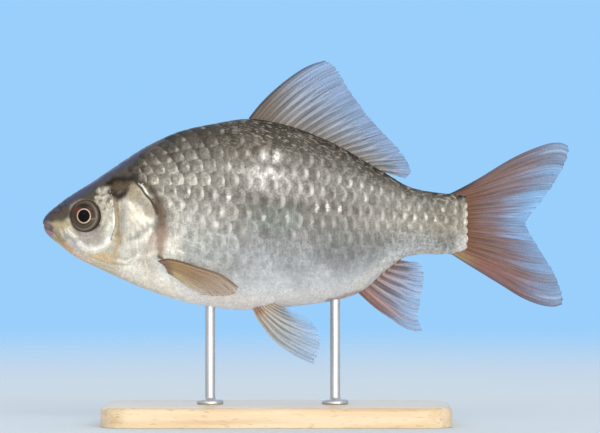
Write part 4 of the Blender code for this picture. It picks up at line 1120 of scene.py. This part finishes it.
def fin(name, kind, side, material, slot):
    """One fin: branching, jointed rays raised on both faces of a thin skin with a frayed margin."""
    shape = FINS[kind]
    tail = kind.startswith("tail")
    places, stoutness = ray_places(kind)
    count, bow, ray_half = RAYS[kind]
    cell = 1 / (count - 1)
    draw = np.random.default_rng(sum(map(ord, name)))
    offsets = [
        (ray, offset) for ray in range(count) for offset in COLUMN_OFFSETS
        if not (ray == 0 and offset < 0) and not (ray == count - 1 and offset > 0)
    ]
    bm, u_grid, v, layer = doubled_grid(len(offsets) - 1, FIN_ROWS)
    ray, tip = np.array(offsets)[np.round(u_grid * (len(offsets) - 1)).astype(int)].T
    ray = ray.astype(int)
    gather = 0.62 + 0.38 * smooth(FIRST_FORK - 0.15, 0.8, v)
    u = places[ray] + cell * tip * np.where(np.abs(tip) > 0.47, 1, gather)
    u = np.clip(u, 0, 1)
    # ridge of the nearest branch
    spine = (ray == 0) & (kind in SPINY)
    ridge = np.zeros(len(u))
    for branch in TIP_OFFSETS:
        centre = np.where(spine, 0, forked(branch, v))
        width = np.where(spine, 0.3, 0.31 * (1 - smooth(FIRST_FORK, 0.85, v) * 0.68))
        away = ((u - places[ray]) / cell - centre) / width
        ridge = np.maximum(ridge, np.clip(1 - away**2, 0, 1))
    half = MEMBRANE_HALF * (1 - 0.5 * v) + ridge * (ray_half * stoutness[ray] * (1 - 0.86 * smooth(0, 1, v)))
    half = np.where(spine, MEMBRANE_HALF + ridge * SPINE_HALF * (1 - 0.75 * v), half)
    if tail:
        half = half * (0.25 + 0.75 * smooth(0.02, 0.12, v))
    # frayed margin: rays reach past the skin between them, and a few splits run in
    torn = 1 if tail else 1.6
    split = draw.random(count) < (0.1 if tail else 0.45)
    deep = draw.uniform(0.02, 0.07, count) * split * torn + draw.uniform(0.004, 0.012, count)
    between = smooth(0.4, 0.5, np.abs(tip))
    reach = draw.uniform(-0.005, 0.007, (count, 4)) * torn
    nearest = np.argmin(np.abs(tip[:, None] - np.array(TIP_OFFSETS)), axis=1)
    fray = reach[ray, nearest] * (1 - between) - deep[np.where(tip < 0, ray - 1, ray) % count] * between
    fray = fray - 0.006 * np.abs(np.sin(tip * 4 * math.pi)) ** 2
    run = v * (1 + fray * smooth(0.75, 1, v))
    margin = Path(shape["margin"])
    spot = patch(
        Path(shape["root"]), lambda share: margin(share ** shape["lag"]), Path(shape["lead"]),
        Path(shape["trail"]), u, np.clip(run, 0, 1.02), bow,
    )
    if tail:
        spot[:, 1] -= np.sign(shape["trail"][0][1]) * TAIL_GAP * smooth(0.9, 1, u)
    # slow bends and a flutter at the margin; the root's rim is tucked into the body
    out = 0.32 * np.sin(u * 5.2 + v * 2.4 + len(name)) * smooth(0.15, 1, v)
    out = out + 0.12 * np.sin(u * 31 + v * 5) * smooth(0.5, 1, v)
    if side:
        root_side, last_root_side, tip_side, last_side = shape["side"]
        start = (1 - u) * root_side + u * last_root_side
        end = (1 - u) * tip_side + u * last_side
        out = out + side * ((1 - v) * start + v * end + shape["swell"] * v * (1 - v))
    tuck = run <= 0
    back_by, in_by, up_by = shape["sink"]
    reach = (half * layer)[:, None] * fin_lean(shape, side)
    station = spot[:, 0] + back_by * tuck
    out = out + side * in_by * tuck
    height = spot[:, 1] + up_by * tuck
    set_spots(bm, place(station + reach[:, 0], out + reach[:, 1], height + reach[:, 2]))
    obj = mesh_object(name + "_rayed", bm)
    colour, cover = fin_colours(kind, u, v, ridge, ray, draw)
    length = np.linalg.norm(np.array(shape["lead"][-1]) - np.array(shape["lead"][0]))
    store(obj.data, colour, cover=cover, along=v * length, ridge=ridge, strand=(ray + tip) * STRANDS)
    finish_piece(obj, material, slot, name)


def fin_lean(shape, side):
    """The direction across the thickness of a fin."""
    if not side:
        return np.array([0.0, 1.0, 0.0])
    root_side, last_root_side, tip_side, _ = shape["side"]
    base = np.array(shape["root"][0])
    along = np.array(shape["lead"][-1]) - base
    across = np.array(shape["root"][-1]) - base
    normal = np.cross(
        (along[0], side * (tip_side - root_side), along[1]),
        (across[0], side * (last_root_side - root_side), across[1]),
    )
    return normal / np.linalg.norm(normal)


def fin_colours(kind, u, v, ridge, ray, draw):
    """Rays and the skin between them, from the root to the margin, and how much they cover."""
    tail = kind.startswith("tail")
    tones = np.array([linear(code) for code in FIN_TONES[kind]])
    count = RAYS[kind][0]
    fade = draw.uniform(0.85, 1.18, count)[ray]
    outward = v * fade * (0.8 + 0.25 * smooth(0.1, 0.7, u)) if tail else v
    stops = [0.1, 0.52, 1] if tail else [0, 0.5, 1]
    bone, web = (
        np.stack([np.interp(outward, stops, channel) for channel in part.T], axis=1)
        for part in (tones[:3], tones[3:])
    )
    colour = web + (bone - web) * smooth(0.15, 0.7, ridge)[:, None]
    colour = colour * draw.normal(1, 0.05, count)[ray][:, None]
    for fins, code, strength, where in FIN_TINTS:
        if kind.startswith(fins):
            colour = colour + (linear(code) - colour) * (where(u, v) * strength)[:, None]
    clear = smooth(0.5, 1.1, v) if tail else smooth(0.2, 1, v)
    cover = 0.97 - clear * (0.72 - 0.4 * smooth(0.1, 0.6, ridge))
    if kind == "pelvic_fin":
        cover = cover * (1 - 0.9 * smooth(0.25, 0.9, u) * smooth(0.2, 0.75, v))
        cover = cover * (1 - 0.45 * smooth(0.6, 1, v))
    if kind == "pectoral_fin":
        cover = cover * (1 - 0.5 * smooth(0.6, 1, u) * smooth(0.15, 0.6, v))
    return np.clip(colour, 0, 1), np.maximum(cover, smooth(0.06, 0, u))


EYE_SHOWN_RADIUS = 4.75
PUPIL_SHIFT = (0.1, -0.1)
PUPIL_RADIUS = 1.87
IRIS_RADIUS = 3.95


def eye(word, side, material):
    """A flattened eyeball with its pupil, bright ring and iris, square to the head."""
    along, up = side_slope(EYE_STATION, EYE_HEIGHT, 0.5)
    outward = Vector((-along, side, -up)).normalized()
    centre = Vector(place(EYE_STATION + EYE_SHIFT, side * side_depth(EYE_STATION, EYE_HEIGHT), EYE_HEIGHT))
    centre += outward * (EYE_BULGE - EYE_DEPTH_RADIUS) * MM
    turn = Vector((0, 0, 1)).rotation_difference(outward).to_matrix()
    bm = bmesh.new()
    bmesh.ops.create_uvsphere(bm, u_segments=96, v_segments=96, radius=1)
    for vert in bm.verts:
        away = math.hypot(vert.co.x, vert.co.y)
        rise = math.copysign((1 - min(away, 1) ** 3) ** (1 / 3), vert.co.z) * EYE_DEPTH_RADIUS
        away *= EYE_SHOWN_RADIUS
        if vert.co.z > 0:
            # clear dome over the pupil, and a faint dip round it
            rise += 0.16 * math.exp(-(away / 1.5) ** 2) - 0.03 * math.exp(-((away - 3.2) / 0.6) ** 2)
        spot = Vector((vert.co.x * EYE_SHOWN_RADIUS, vert.co.y * EYE_SHOWN_RADIUS, rise)) * MM
        vert.co = centre + turn @ spot
    ball = mesh_object(f"eyeball_{word}", bm)
    station, _, height = corners(ball.data)
    x = (station - EYE_STATION - EYE_SHIFT - outward.x * EYE_BULGE) / math.hypot(outward.y, outward.z)
    y = height - EYE_HEIGHT - outward.z * EYE_BULGE
    away = np.hypot(x, y)
    pupil_away = np.hypot(x - PUPIL_SHIFT[0], y - PUPIL_SHIFT[1])
    angle = np.arctan2(y, x)
    brush = Brush(x, y, np.tile(linear("#3e3228"), (len(x), 1)), np.full(len(x), 0.25))
    streaks = 0.5 + 0.5 * np.sin(angle * 23 + 2 * np.sin(angle * 5) + away * 2)
    brush.lay(0.3 * streaks * smooth(3.6, 2.2, away), "#685846")
    brush.lay(smooth(0.6, 2.8, y) * 0.9, "#262423", 0.1)
    brush.spot((-2.1, 1.6), (1.3, 0.9), "#6a3a2c", 0.8, soft=0.8, turn=50)
    brush.spot((2, 2), (0.9, 0.8), "#6a463f", 0.6, soft=0.8, turn=-35)
    for mask, code, silver in (
        (bell(away - 3.2, 0.35) * smooth(0.3, -1.6, y) * 0.5, "#685f48", 0.2),
        (bell(away - 2.7, 0.25) * smooth(0.3, -1.4, y) * 0.4, "#3d3529", None),
        # rims of the iris and of the eyeball; the dark outer edge of the eyeball is painted shade where it
        # meets its socket
        (smooth(3.4, IRIS_RADIUS, away), "#61574a", 0),
        (bell(away - IRIS_RADIUS, 0.14) * 0.5, "#2a2520", 0),
        (bell(away - 4.1, 0.16) * smooth(-2, 2, x - y) * 0.55, "#958c78", 0),
        (smooth(4.55, 4.72, away) * 0.7, "#37322a", 0),
        # bright ring, and the pupil
        (bell(pupil_away - 2.08, 0.135), "#e6cdb6", 0.4),
        (1 - smooth(PUPIL_RADIUS - 0.06, PUPIL_RADIUS + 0.1, pupil_away), "#030303", 0),
    ):
        brush.lay(mask, code, silver)
    store(ball.data, np.clip(brush.colour, 0, 1), silver=brush.silver)
    finish_piece(ball, material, "eye", f"eye_{word}")


SPREAD = (0.3, 0.7)


def span(*ends):
    """Inputs of a range, from one low and high value to another."""
    return dict(zip(("From Min", "From Max", "To Min", "To Max"), ends))


def pattern(tree, vector, scale, detail, spread, levels):
    """Noise as it is, and brought from a spread of its values to levels."""
    noise = add_node(tree, "ShaderNodeTexNoise", {"Vector": vector, "Scale": scale, "Detail": detail})
    fac = noise.outputs["Fac"]
    level = add_node(tree, "ShaderNodeMapRange", {"Value": fac, **span(*spread, *levels)})
    return fac, level.outputs["Result"]


def tinted(tree, level):
    """The colour kept on the mesh, lightened and darkened by a level."""
    tint = add_node(tree, "ShaderNodeVertexColor", layer_name="tint")
    scaled = add_node(
        tree, "ShaderNodeVectorMath", {0: tint.outputs["Color"], "Scale": level}, operation="SCALE"
    )
    return scaled.outputs["Vector"]


def skin_material(name, grain, mottle, contrast, roughness, bump):
    """Fish skin silvered from below by guanine: wet-looking, finely speckled, a satin metal sheen."""
    made, tree, shader, spot = new_material(name)
    silver = add_node(tree, "ShaderNodeAttribute", attribute_name="silver")
    amount = add_node(tree, "ShaderNodeAttribute", attribute_name="mottle")
    # grain and mottle are sizes in millimetres; a real guanine grain is finer than the picture shows
    upright = add_node(tree, "ShaderNodeMapping", {"Vector": spot, "Scale": (1, 1, 0.35)})
    level = 1.0
    noises = []
    for vector, size, share in (
        (spot, grain, 1), (spot, mottle, 0.8), (upright.outputs["Vector"], mottle * 0.45, 0.7),
    ):
        change = contrast * share
        noise, spread = pattern(tree, vector, 1 / (size * MM), 2, SPREAD, (1 - change, 1 + change))
        noises.append(noise)
        level = add_node(tree, "ShaderNodeMath", {0: level, 1: spread}, operation="MULTIPLY").outputs[0]
    eased = add_node(tree, "ShaderNodeMix", {"Factor": amount.outputs["Fac"], 2: 1.0, 3: level})
    gloss = add_node(
        tree, "ShaderNodeMapRange", {"Value": noises[0], **span(*SPREAD, roughness - 0.06, roughness + 0.1)}
    )
    relief = add_node(tree, "ShaderNodeBump", {"Height": noises[0], "Strength": 0.6, "Distance": bump * MM})
    fill(tree, shader, {
        "Base Color": tinted(tree, eased.outputs[0]), "Metallic": silver.outputs["Fac"],
        "Roughness": gloss.outputs["Result"], "Normal": relief.outputs["Normal"],
        "Specular IOR Level": 0.14, "Coat Weight": 0.06, "Coat Roughness": 0.15,
    })
    return made


# Marks on each scale: its attribute, centre and radii on the scale, where it ends and is full, strength,
# colour, and how uneven its edge is
SCALE_MARKS = [
    # gap: painted shadow where each scale meets its neighbours
    ("gap", (0.77, 0.5, 0), (0.25, 0.42, 9), (0.65, 1.4), 0.95, "#2a2620", 0.8),
    ("dusk", (0.68, 0.5, 0), (0.2, 0.36, 9), (1.25, 0.15), 0.6, "#454139", 1.4),
    # glint: a painted highlight streak at the rear edge of each scale
    ("painted_glint", (0.87, 0.48, 0), (0.09, 0.2, 9), (1.5, 0.1), 0.8, "#e8e5dd", 3.2),
]


def scale_material(name):
    """Guanine under clear scales: the skin's look, with a dusky middle on each, painted shadow in the gaps
    between them and a pale rear streak of painted highlight.
    """
    made = skin_material(name, 0.6, 1.7, 0.27, 0.42, 0.03)
    tree = made.node_tree
    shader = tree.nodes["Principled BSDF"]
    spot = add_node(tree, "ShaderNodeTexCoord").outputs["Object"]
    seat = add_node(tree, "ShaderNodeUVMap", uv_map="scale_place")
    # uneven edges for the marks, from spots 0.6 mm across
    edge = add_node(tree, "ShaderNodeTexNoise", {"Vector": spot, "Scale": 1 / (0.6 * MM), "Detail": 2})
    layers = []
    for mark, centre, radii, (outer, inner), strength, tone, uneven in SCALE_MARKS:
        away = seat.outputs["UV"]
        for step, by in (("SUBTRACT", centre), ("DIVIDE", radii), ("LENGTH", (0, 0, 0))):
            away = add_node(tree, "ShaderNodeVectorMath", {0: away, 1: by}, operation=step)
            away = away.outputs["Value" if step == "LENGTH" else "Vector"]
        torn = add_node(
            tree, "ShaderNodeMath", {0: edge.outputs["Fac"], 1: uneven, 2: away},
            operation="MULTIPLY_ADD",
        )
        inside = add_node(
            tree, "ShaderNodeMapRange",
            {"Value": torn.outputs[0], **span(outer + uneven / 2, inner + uneven / 2, 0, strength)},
            interpolation_type="SMOOTHSTEP",
        )
        layers.append((mark, inside.outputs["Result"], tone, True))
    # pale dashes of painted highlight along the rows of the back, 0.55 mm by 1.5 mm
    lying = add_node(
        tree, "ShaderNodeMapping", {"Vector": spot, "Rotation": (0, 0.35, 0), "Scale": (2.7, 1, 1)},
        vector_type="TEXTURE",
    )
    _, dashes = pattern(tree, lying.outputs["Vector"], 1 / (0.55 * MM), 2, (0.54, 0.68), (0, 0.7))
    layers.append(("painted_back_glint", dashes, "#a8a294", False))
    under = shader.inputs["Base Color"].links[0].from_socket
    for mark, share, tone, clamp in layers:
        kept = add_node(tree, "ShaderNodeAttribute", attribute_name=mark)
        amount = add_node(
            tree, "ShaderNodeMath", {0: share, 1: kept.outputs["Fac"]}, operation="MULTIPLY", use_clamp=clamp
        )
        marked = add_node(
            tree, "ShaderNodeMix", {"Factor": amount.outputs[0], "A": under, "B": (*linear(tone), 1)},
            data_type="RGBA",
        )
        under = marked.outputs["Result"]
    tree.links.new(under, shader.inputs["Base Color"])
    return made


def fin_material(name, contrast):
    """Fin skin stretched between bony rays: thin, slightly see-through, with cross joints on the rays."""
    made, tree, shader, spot = new_material(name)
    cover, along, ridge, strand = (
        add_node(tree, "ShaderNodeAttribute", attribute_name=name).outputs["Fac"]
        for name in ("cover", "along", "ridge", "strand")
    )
    # ray joints come every 0.9 mm along the ray, a little coarser than the real ones
    beat = add_node(tree, "ShaderNodeMath", {0: along, 1: 2 * math.pi / 0.9}, operation="MULTIPLY")
    wave = add_node(tree, "ShaderNodeMath", {0: beat.outputs[0]}, operation="SINE")
    joint = add_node(tree, "ShaderNodeMath", {0: wave.outputs[0], 1: ridge}, operation="MULTIPLY").outputs[0]
    level = add_node(
        tree, "ShaderNodeMapRange", {"Value": joint, **span(-1, 1, 0.93, 1.05)},
    ).outputs["Result"]
    # specks 0.5 mm across, and hair-fine strands that run the length of the rays
    _, specks = pattern(tree, spot, 1 / (0.5 * MM), 2, SPREAD, (0.9, 1.1))
    slow = add_node(tree, "ShaderNodeMath", {0: along, 1: 0.06}, operation="MULTIPLY")
    lie = add_node(tree, "ShaderNodeCombineXYZ", {0: strand, 1: slow.outputs[0]})
    _, fibres = pattern(tree, lie.outputs["Vector"], 1, 1, SPREAD, (1 - contrast, 1 + contrast * 0.8))
    for part in (specks, fibres):
        level = add_node(tree, "ShaderNodeMath", {0: level, 1: part}, operation="MULTIPLY").outputs[0]
    relief = add_node(tree, "ShaderNodeBump", {"Height": joint, "Strength": 0.3, "Distance": 0.04 * MM})
    fill(tree, shader, {
        "Base Color": tinted(tree, level), "Alpha": cover, "Normal": relief.outputs["Normal"],
        "Roughness": 0.42, "Specular IOR Level": 0.25, "Coat Weight": 0.05, "Coat Roughness": 0.25,
    })
    return made


def eye_material():
    """Glass eye: a painted iris under a clear polished front, which gives one sharp highlight."""
    made, tree, shader, spot = new_material("painted_glass_eye")
    silver = add_node(tree, "ShaderNodeAttribute", attribute_name="silver")
    # flecks of the iris, 0.3 mm across
    _, flecks = pattern(tree, spot, 1 / (0.3 * MM), 2, SPREAD, (0.8, 1.2))
    fill(tree, shader, {
        "Base Color": tinted(tree, flecks), "Metallic": silver.outputs["Fac"], "Roughness": 0.4,
        "Specular IOR Level": 0.05, "Coat Weight": 0.2, "Coat Roughness": 0.04,
    })
    return made


def beech_material():
    """Steamed beech under satin varnish: straight pale grain with short darker flecks."""
    made, tree, shader, spot = new_material("varnished_beech")
    # rings are about 2.5 mm apart across the board and run its length; flecks are 0.5 mm by 3 mm
    wood = (*linear("#d5b78c"), 1)
    for stretch, size, detail, spread, strength, tone in (
        (0.06, 2.5, 3, SPREAD, 1, "#ead6b6"), (0.16, 0.5, 1, (0.62, 0.72), 0.55, "#b08a60"),
    ):
        drawn = add_node(tree, "ShaderNodeMapping", {"Vector": spot, "Scale": (stretch, 1, 1)})
        noise, share = pattern(tree, drawn.outputs["Vector"], 1 / (size * MM), detail, spread, (0, strength))
        grained = add_node(
            tree, "ShaderNodeMix", {"Factor": share, "A": wood, "B": (*linear(tone), 1)}, data_type="RGBA"
        )
        wood = grained.outputs["Result"]
    relief = add_node(tree, "ShaderNodeBump", {"Height": noise, "Strength": 0.25, "Distance": 0.05 * MM})
    fill(tree, shader, {
        "Base Color": wood, "Normal": relief.outputs["Normal"], "Roughness": 0.42, "Coat Weight": 0.3,
        "Coat Roughness": 0.25,
    })
    return made


def steel_material():
    """Brushed stainless steel rod: fine rings from turning, which spread its highlight."""
    made, tree, shader, spot = new_material("turned_stainless_steel")
    # tool marks 0.15 mm apart along the rod
    drawn = add_node(tree, "ShaderNodeMapping", {"Vector": spot, "Scale": (0.1, 0.1, 1)})
    marks, gloss = pattern(tree, drawn.outputs["Vector"], 1 / (0.15 * MM), 2, SPREAD, (0.4, 0.55))
    metal = add_node(
        tree, "ShaderNodeMix", {"Factor": marks, "A": (*linear("#b9bcbf"), 1), "B": (*linear("#dcdee0"), 1)},
        data_type="RGBA",
    )
    fill(tree, shader, {"Base Color": metal.outputs["Result"], "Roughness": gloss, "Metallic": 1})
    return made


def stand_base(material):
    """A beech board with round corners and a softened rim."""
    top = BASE_THICKNESS * MM
    bm = bmesh.new()
    bmesh.ops.create_cube(bm, size=1)
    bmesh.ops.scale(bm, verts=bm.verts, vec=(BASE_LENGTH * MM, BASE_WIDTH * MM, top))
    bmesh.ops.translate(bm, verts=bm.verts, vec=((SNOUT_X + BASE_CENTRE_STATION) * MM, 0, top / 2))

    def soften(chosen, radius, segments):
        bmesh.ops.bevel(
            bm, geom=[edge for edge in bm.edges if chosen(*(vert.co.z for vert in edge.verts))],
            offset=radius * MM, segments=segments, profile=0.5, affect="EDGES", material=-1,
        )

    near = WELD_DISTANCE * MM
    soften(lambda low, high: abs(low - high) > BASE_EDGE * MM, BASE_CORNER, 14)
    soften(lambda low, high: abs(low - top) < near and abs(high - top) < near, BASE_EDGE, 5)
    soften(lambda low, high: abs(low) < near and abs(high) < near, BASE_FOOT_EDGE, 2)
    board = mesh_object("beech_board", bm, 35)
    finish_piece(board, material, "stand_board", "stand_base")


def stand_rod(name, station, material):
    """A turned steel rod from its foot on the board up into the belly."""
    reach = AXIS_HEIGHT + float(belly(station)) + ROD_INTO_BELLY
    # radius, and height above the board, where the foot rounds over into the rod
    turned = [
        (0, 0), (ROD_FOOT_RADIUS - 0.3, 0), (ROD_FOOT_RADIUS, 0.3), (ROD_FOOT_RADIUS, ROD_FOOT_HEIGHT * 0.6),
        (ROD_FOOT_RADIUS - 0.25, ROD_FOOT_HEIGHT * 0.85), (ROD_FOOT_RADIUS * 0.8, ROD_FOOT_HEIGHT),
        (ROD_RADIUS + 0.35, ROD_FOOT_HEIGHT * 1.12), (ROD_RADIUS + 0.08, ROD_FOOT_HEIGHT * 1.3),
        (ROD_RADIUS, ROD_FOOT_HEIGHT * 1.6), (ROD_RADIUS, reach - BASE_THICKNESS),
        (0, reach - BASE_THICKNESS),
    ]
    bm = bmesh.new()
    axis_x = (SNOUT_X + station) * MM
    verts = [bm.verts.new((axis_x + r * MM, 0, (BASE_THICKNESS + z) * MM)) for r, z in turned]
    edges = [bm.edges.new(pair) for pair in zip(verts, verts[1:])]
    bmesh.ops.spin(
        bm, geom=verts + edges, cent=(axis_x, 0, 0), axis=(0, 0, 1), angle=2 * math.pi, steps=48,
        use_merge=True,
    )
    bmesh.ops.remove_doubles(bm, verts=bm.verts, dist=WELD_DISTANCE * MM)
    rod = mesh_object(name.replace("stand", "steel"), bm, 40)
    finish_piece(rod, material, "stand_steel", name)


FLOOR_RADIUS = 2.5
FLOOR_FADE = (0.13, 1.1)
SURROUND = "#cecfd0"
BACKDROP = "#9acffc"


def floor():
    """A pale seamless floor that fades into the background with distance."""
    bm = bmesh.new()
    bmesh.ops.create_circle(bm, cap_ends=True, segments=96, radius=FLOOR_RADIUS)
    ground = mesh_object("floor", bm, closed=False)
    made, tree, shader, spot = new_material("seamless_paper")
    away = add_node(tree, "ShaderNodeVectorMath", {0: spot}, operation="LENGTH")
    fade = add_node(
        tree, "ShaderNodeMapRange", {"Value": away.outputs["Value"], **span(*FLOOR_FADE, 1, 0)},
        interpolation_type="SMOOTHSTEP",
    )
    fill(tree, shader, {
        "Base Color": (*linear("#dfe8ee"), 1), "Roughness": 0.8, "Specular IOR Level": 0.2,
        "Alpha": fade.outputs["Result"],
    })
    ground.data.materials.append(made)


# Soft boxes: where they stand, what they face, their size in metres, power and colour
FISH_MIDDLE = (0, 0, 0.06)
SOFTBOXES = {
    "key_softbox": ((0.5, -1.5, 0.95), FISH_MIDDLE, (1.6, 1.3), 6.4, "#fffaf5"),
    "spot_softbox": ((0.75, -1.2, 0.8), FISH_MIDDLE, (0.16, 0.16), 1.5, "#fffaf5"),
    "eye_light": ((-0.79, -0.92, 0.49), (-0.066, 0, 0.062), (0.04, 0.04), 0.7, "#fffaf5"),
    "low_softbox": ((0.2, -1.1, 0.07), (0, 0, 0.05), (1.6, 0.12), 7.5, "#fffaf5"),
    "rear_softbox": ((-0.4, 1.5, 0.8), FISH_MIDDLE, (1.4, 0.9), 4, "#fff4ea"),
    "top_softbox": ((0.05, 0.3, 1.2), FISH_MIDDLE, (1, 0.6), 1, "#fffaf5"),
}


def lights():
    """Soft boxes above and in front, in a pale room with a light blue backdrop behind the fish."""
    for name, (spot, target, size, power, colour) in SOFTBOXES.items():
        lamp = bpy.data.lights.new(name, "AREA")
        lamp.shape = "RECTANGLE"
        lamp.size, lamp.size_y = size
        lamp.energy = power
        lamp.color = linear(colour)
        obj = bpy.data.objects.new(name, lamp)
        obj.location = spot
        obj.rotation_euler = (Vector(target) - Vector(spot)).to_track_quat("-Z", "Y").to_euler()
        bpy.context.scene.collection.objects.link(obj)
    world = bpy.data.worlds.new("pale_room")
    world.use_nodes = True
    tree = world.node_tree
    coords = add_node(tree, "ShaderNodeTexCoord")
    axes = add_node(tree, "ShaderNodeSeparateXYZ", {0: coords.outputs["Generated"]})
    behind = add_node(
        tree, "ShaderNodeMapRange", {"Value": axes.outputs["Y"], **span(0.3, 0.95, 0, 1)},
        interpolation_type="SMOOTHSTEP",
    )
    room = add_node(
        tree, "ShaderNodeMix",
        {"Factor": behind.outputs["Result"], "A": (*linear(SURROUND), 1), "B": (*linear(BACKDROP), 1)},
        data_type="RGBA",
    )
    fill(tree, tree.nodes["Background"], {"Color": room.outputs["Result"], "Strength": 1.0})
    bpy.context.scene.world = world


def camera():
    """A long lens level with the fish, square to its left side."""
    data = bpy.data.cameras.new("camera")
    data.sensor_width = SENSOR_WIDTH
    data.lens = SENSOR_WIDTH * CAMERA_DISTANCE / VIEW_WIDTH
    data.clip_end = 20
    obj = bpy.data.objects.new("camera", data)
    obj.location = Vector((VIEW_CENTRE_X, -CAMERA_DISTANCE, VIEW_CENTRE_Z)) * MM
    obj.rotation_euler = (math.radians(90), 0, 0)
    bpy.context.scene.collection.objects.link(obj)
    bpy.context.scene.camera = obj


camera()
lights()
floor()
flesh = skin_material("silvered_fish_skin", 0.4, 1.6, 0.13, 0.4, 0.03)
scale_look = scale_material("guanine_scales")
fin_look = fin_material("fin_skin_and_rays", 0.36)
tail_look = fin_material("tail_fin_skin_and_rays", 0.34)
eye_look = eye_material()
fish_skin(flesh)
for word, side in (("left", -1), ("right", 1)):
    gill_cover(word, side, flesh)
    scales(word, side, scale_look)
    eye(word, side, eye_look)
    fin(f"pelvic_fin_{word}", "pelvic_fin", side, fin_look, "fin_membrane")
    fin(f"pectoral_fin_{word}", "pectoral_fin", side, fin_look, "fin_membrane")
for name in ("dorsal_fin", "anal_fin"):
    fin(name, name, 0, fin_look, "fin_membrane")
for name in ("tail_fin_upper", "tail_fin_lower"):
    fin(name, name, 0, tail_look, "tail_fin")
stand_base(beech_material())
steel = steel_material()
for name, station in ROD_STATIONS.items():
    stand_rod(name, station, steel)
bpy.context.scene.view_settings.view_transform = "Standard"
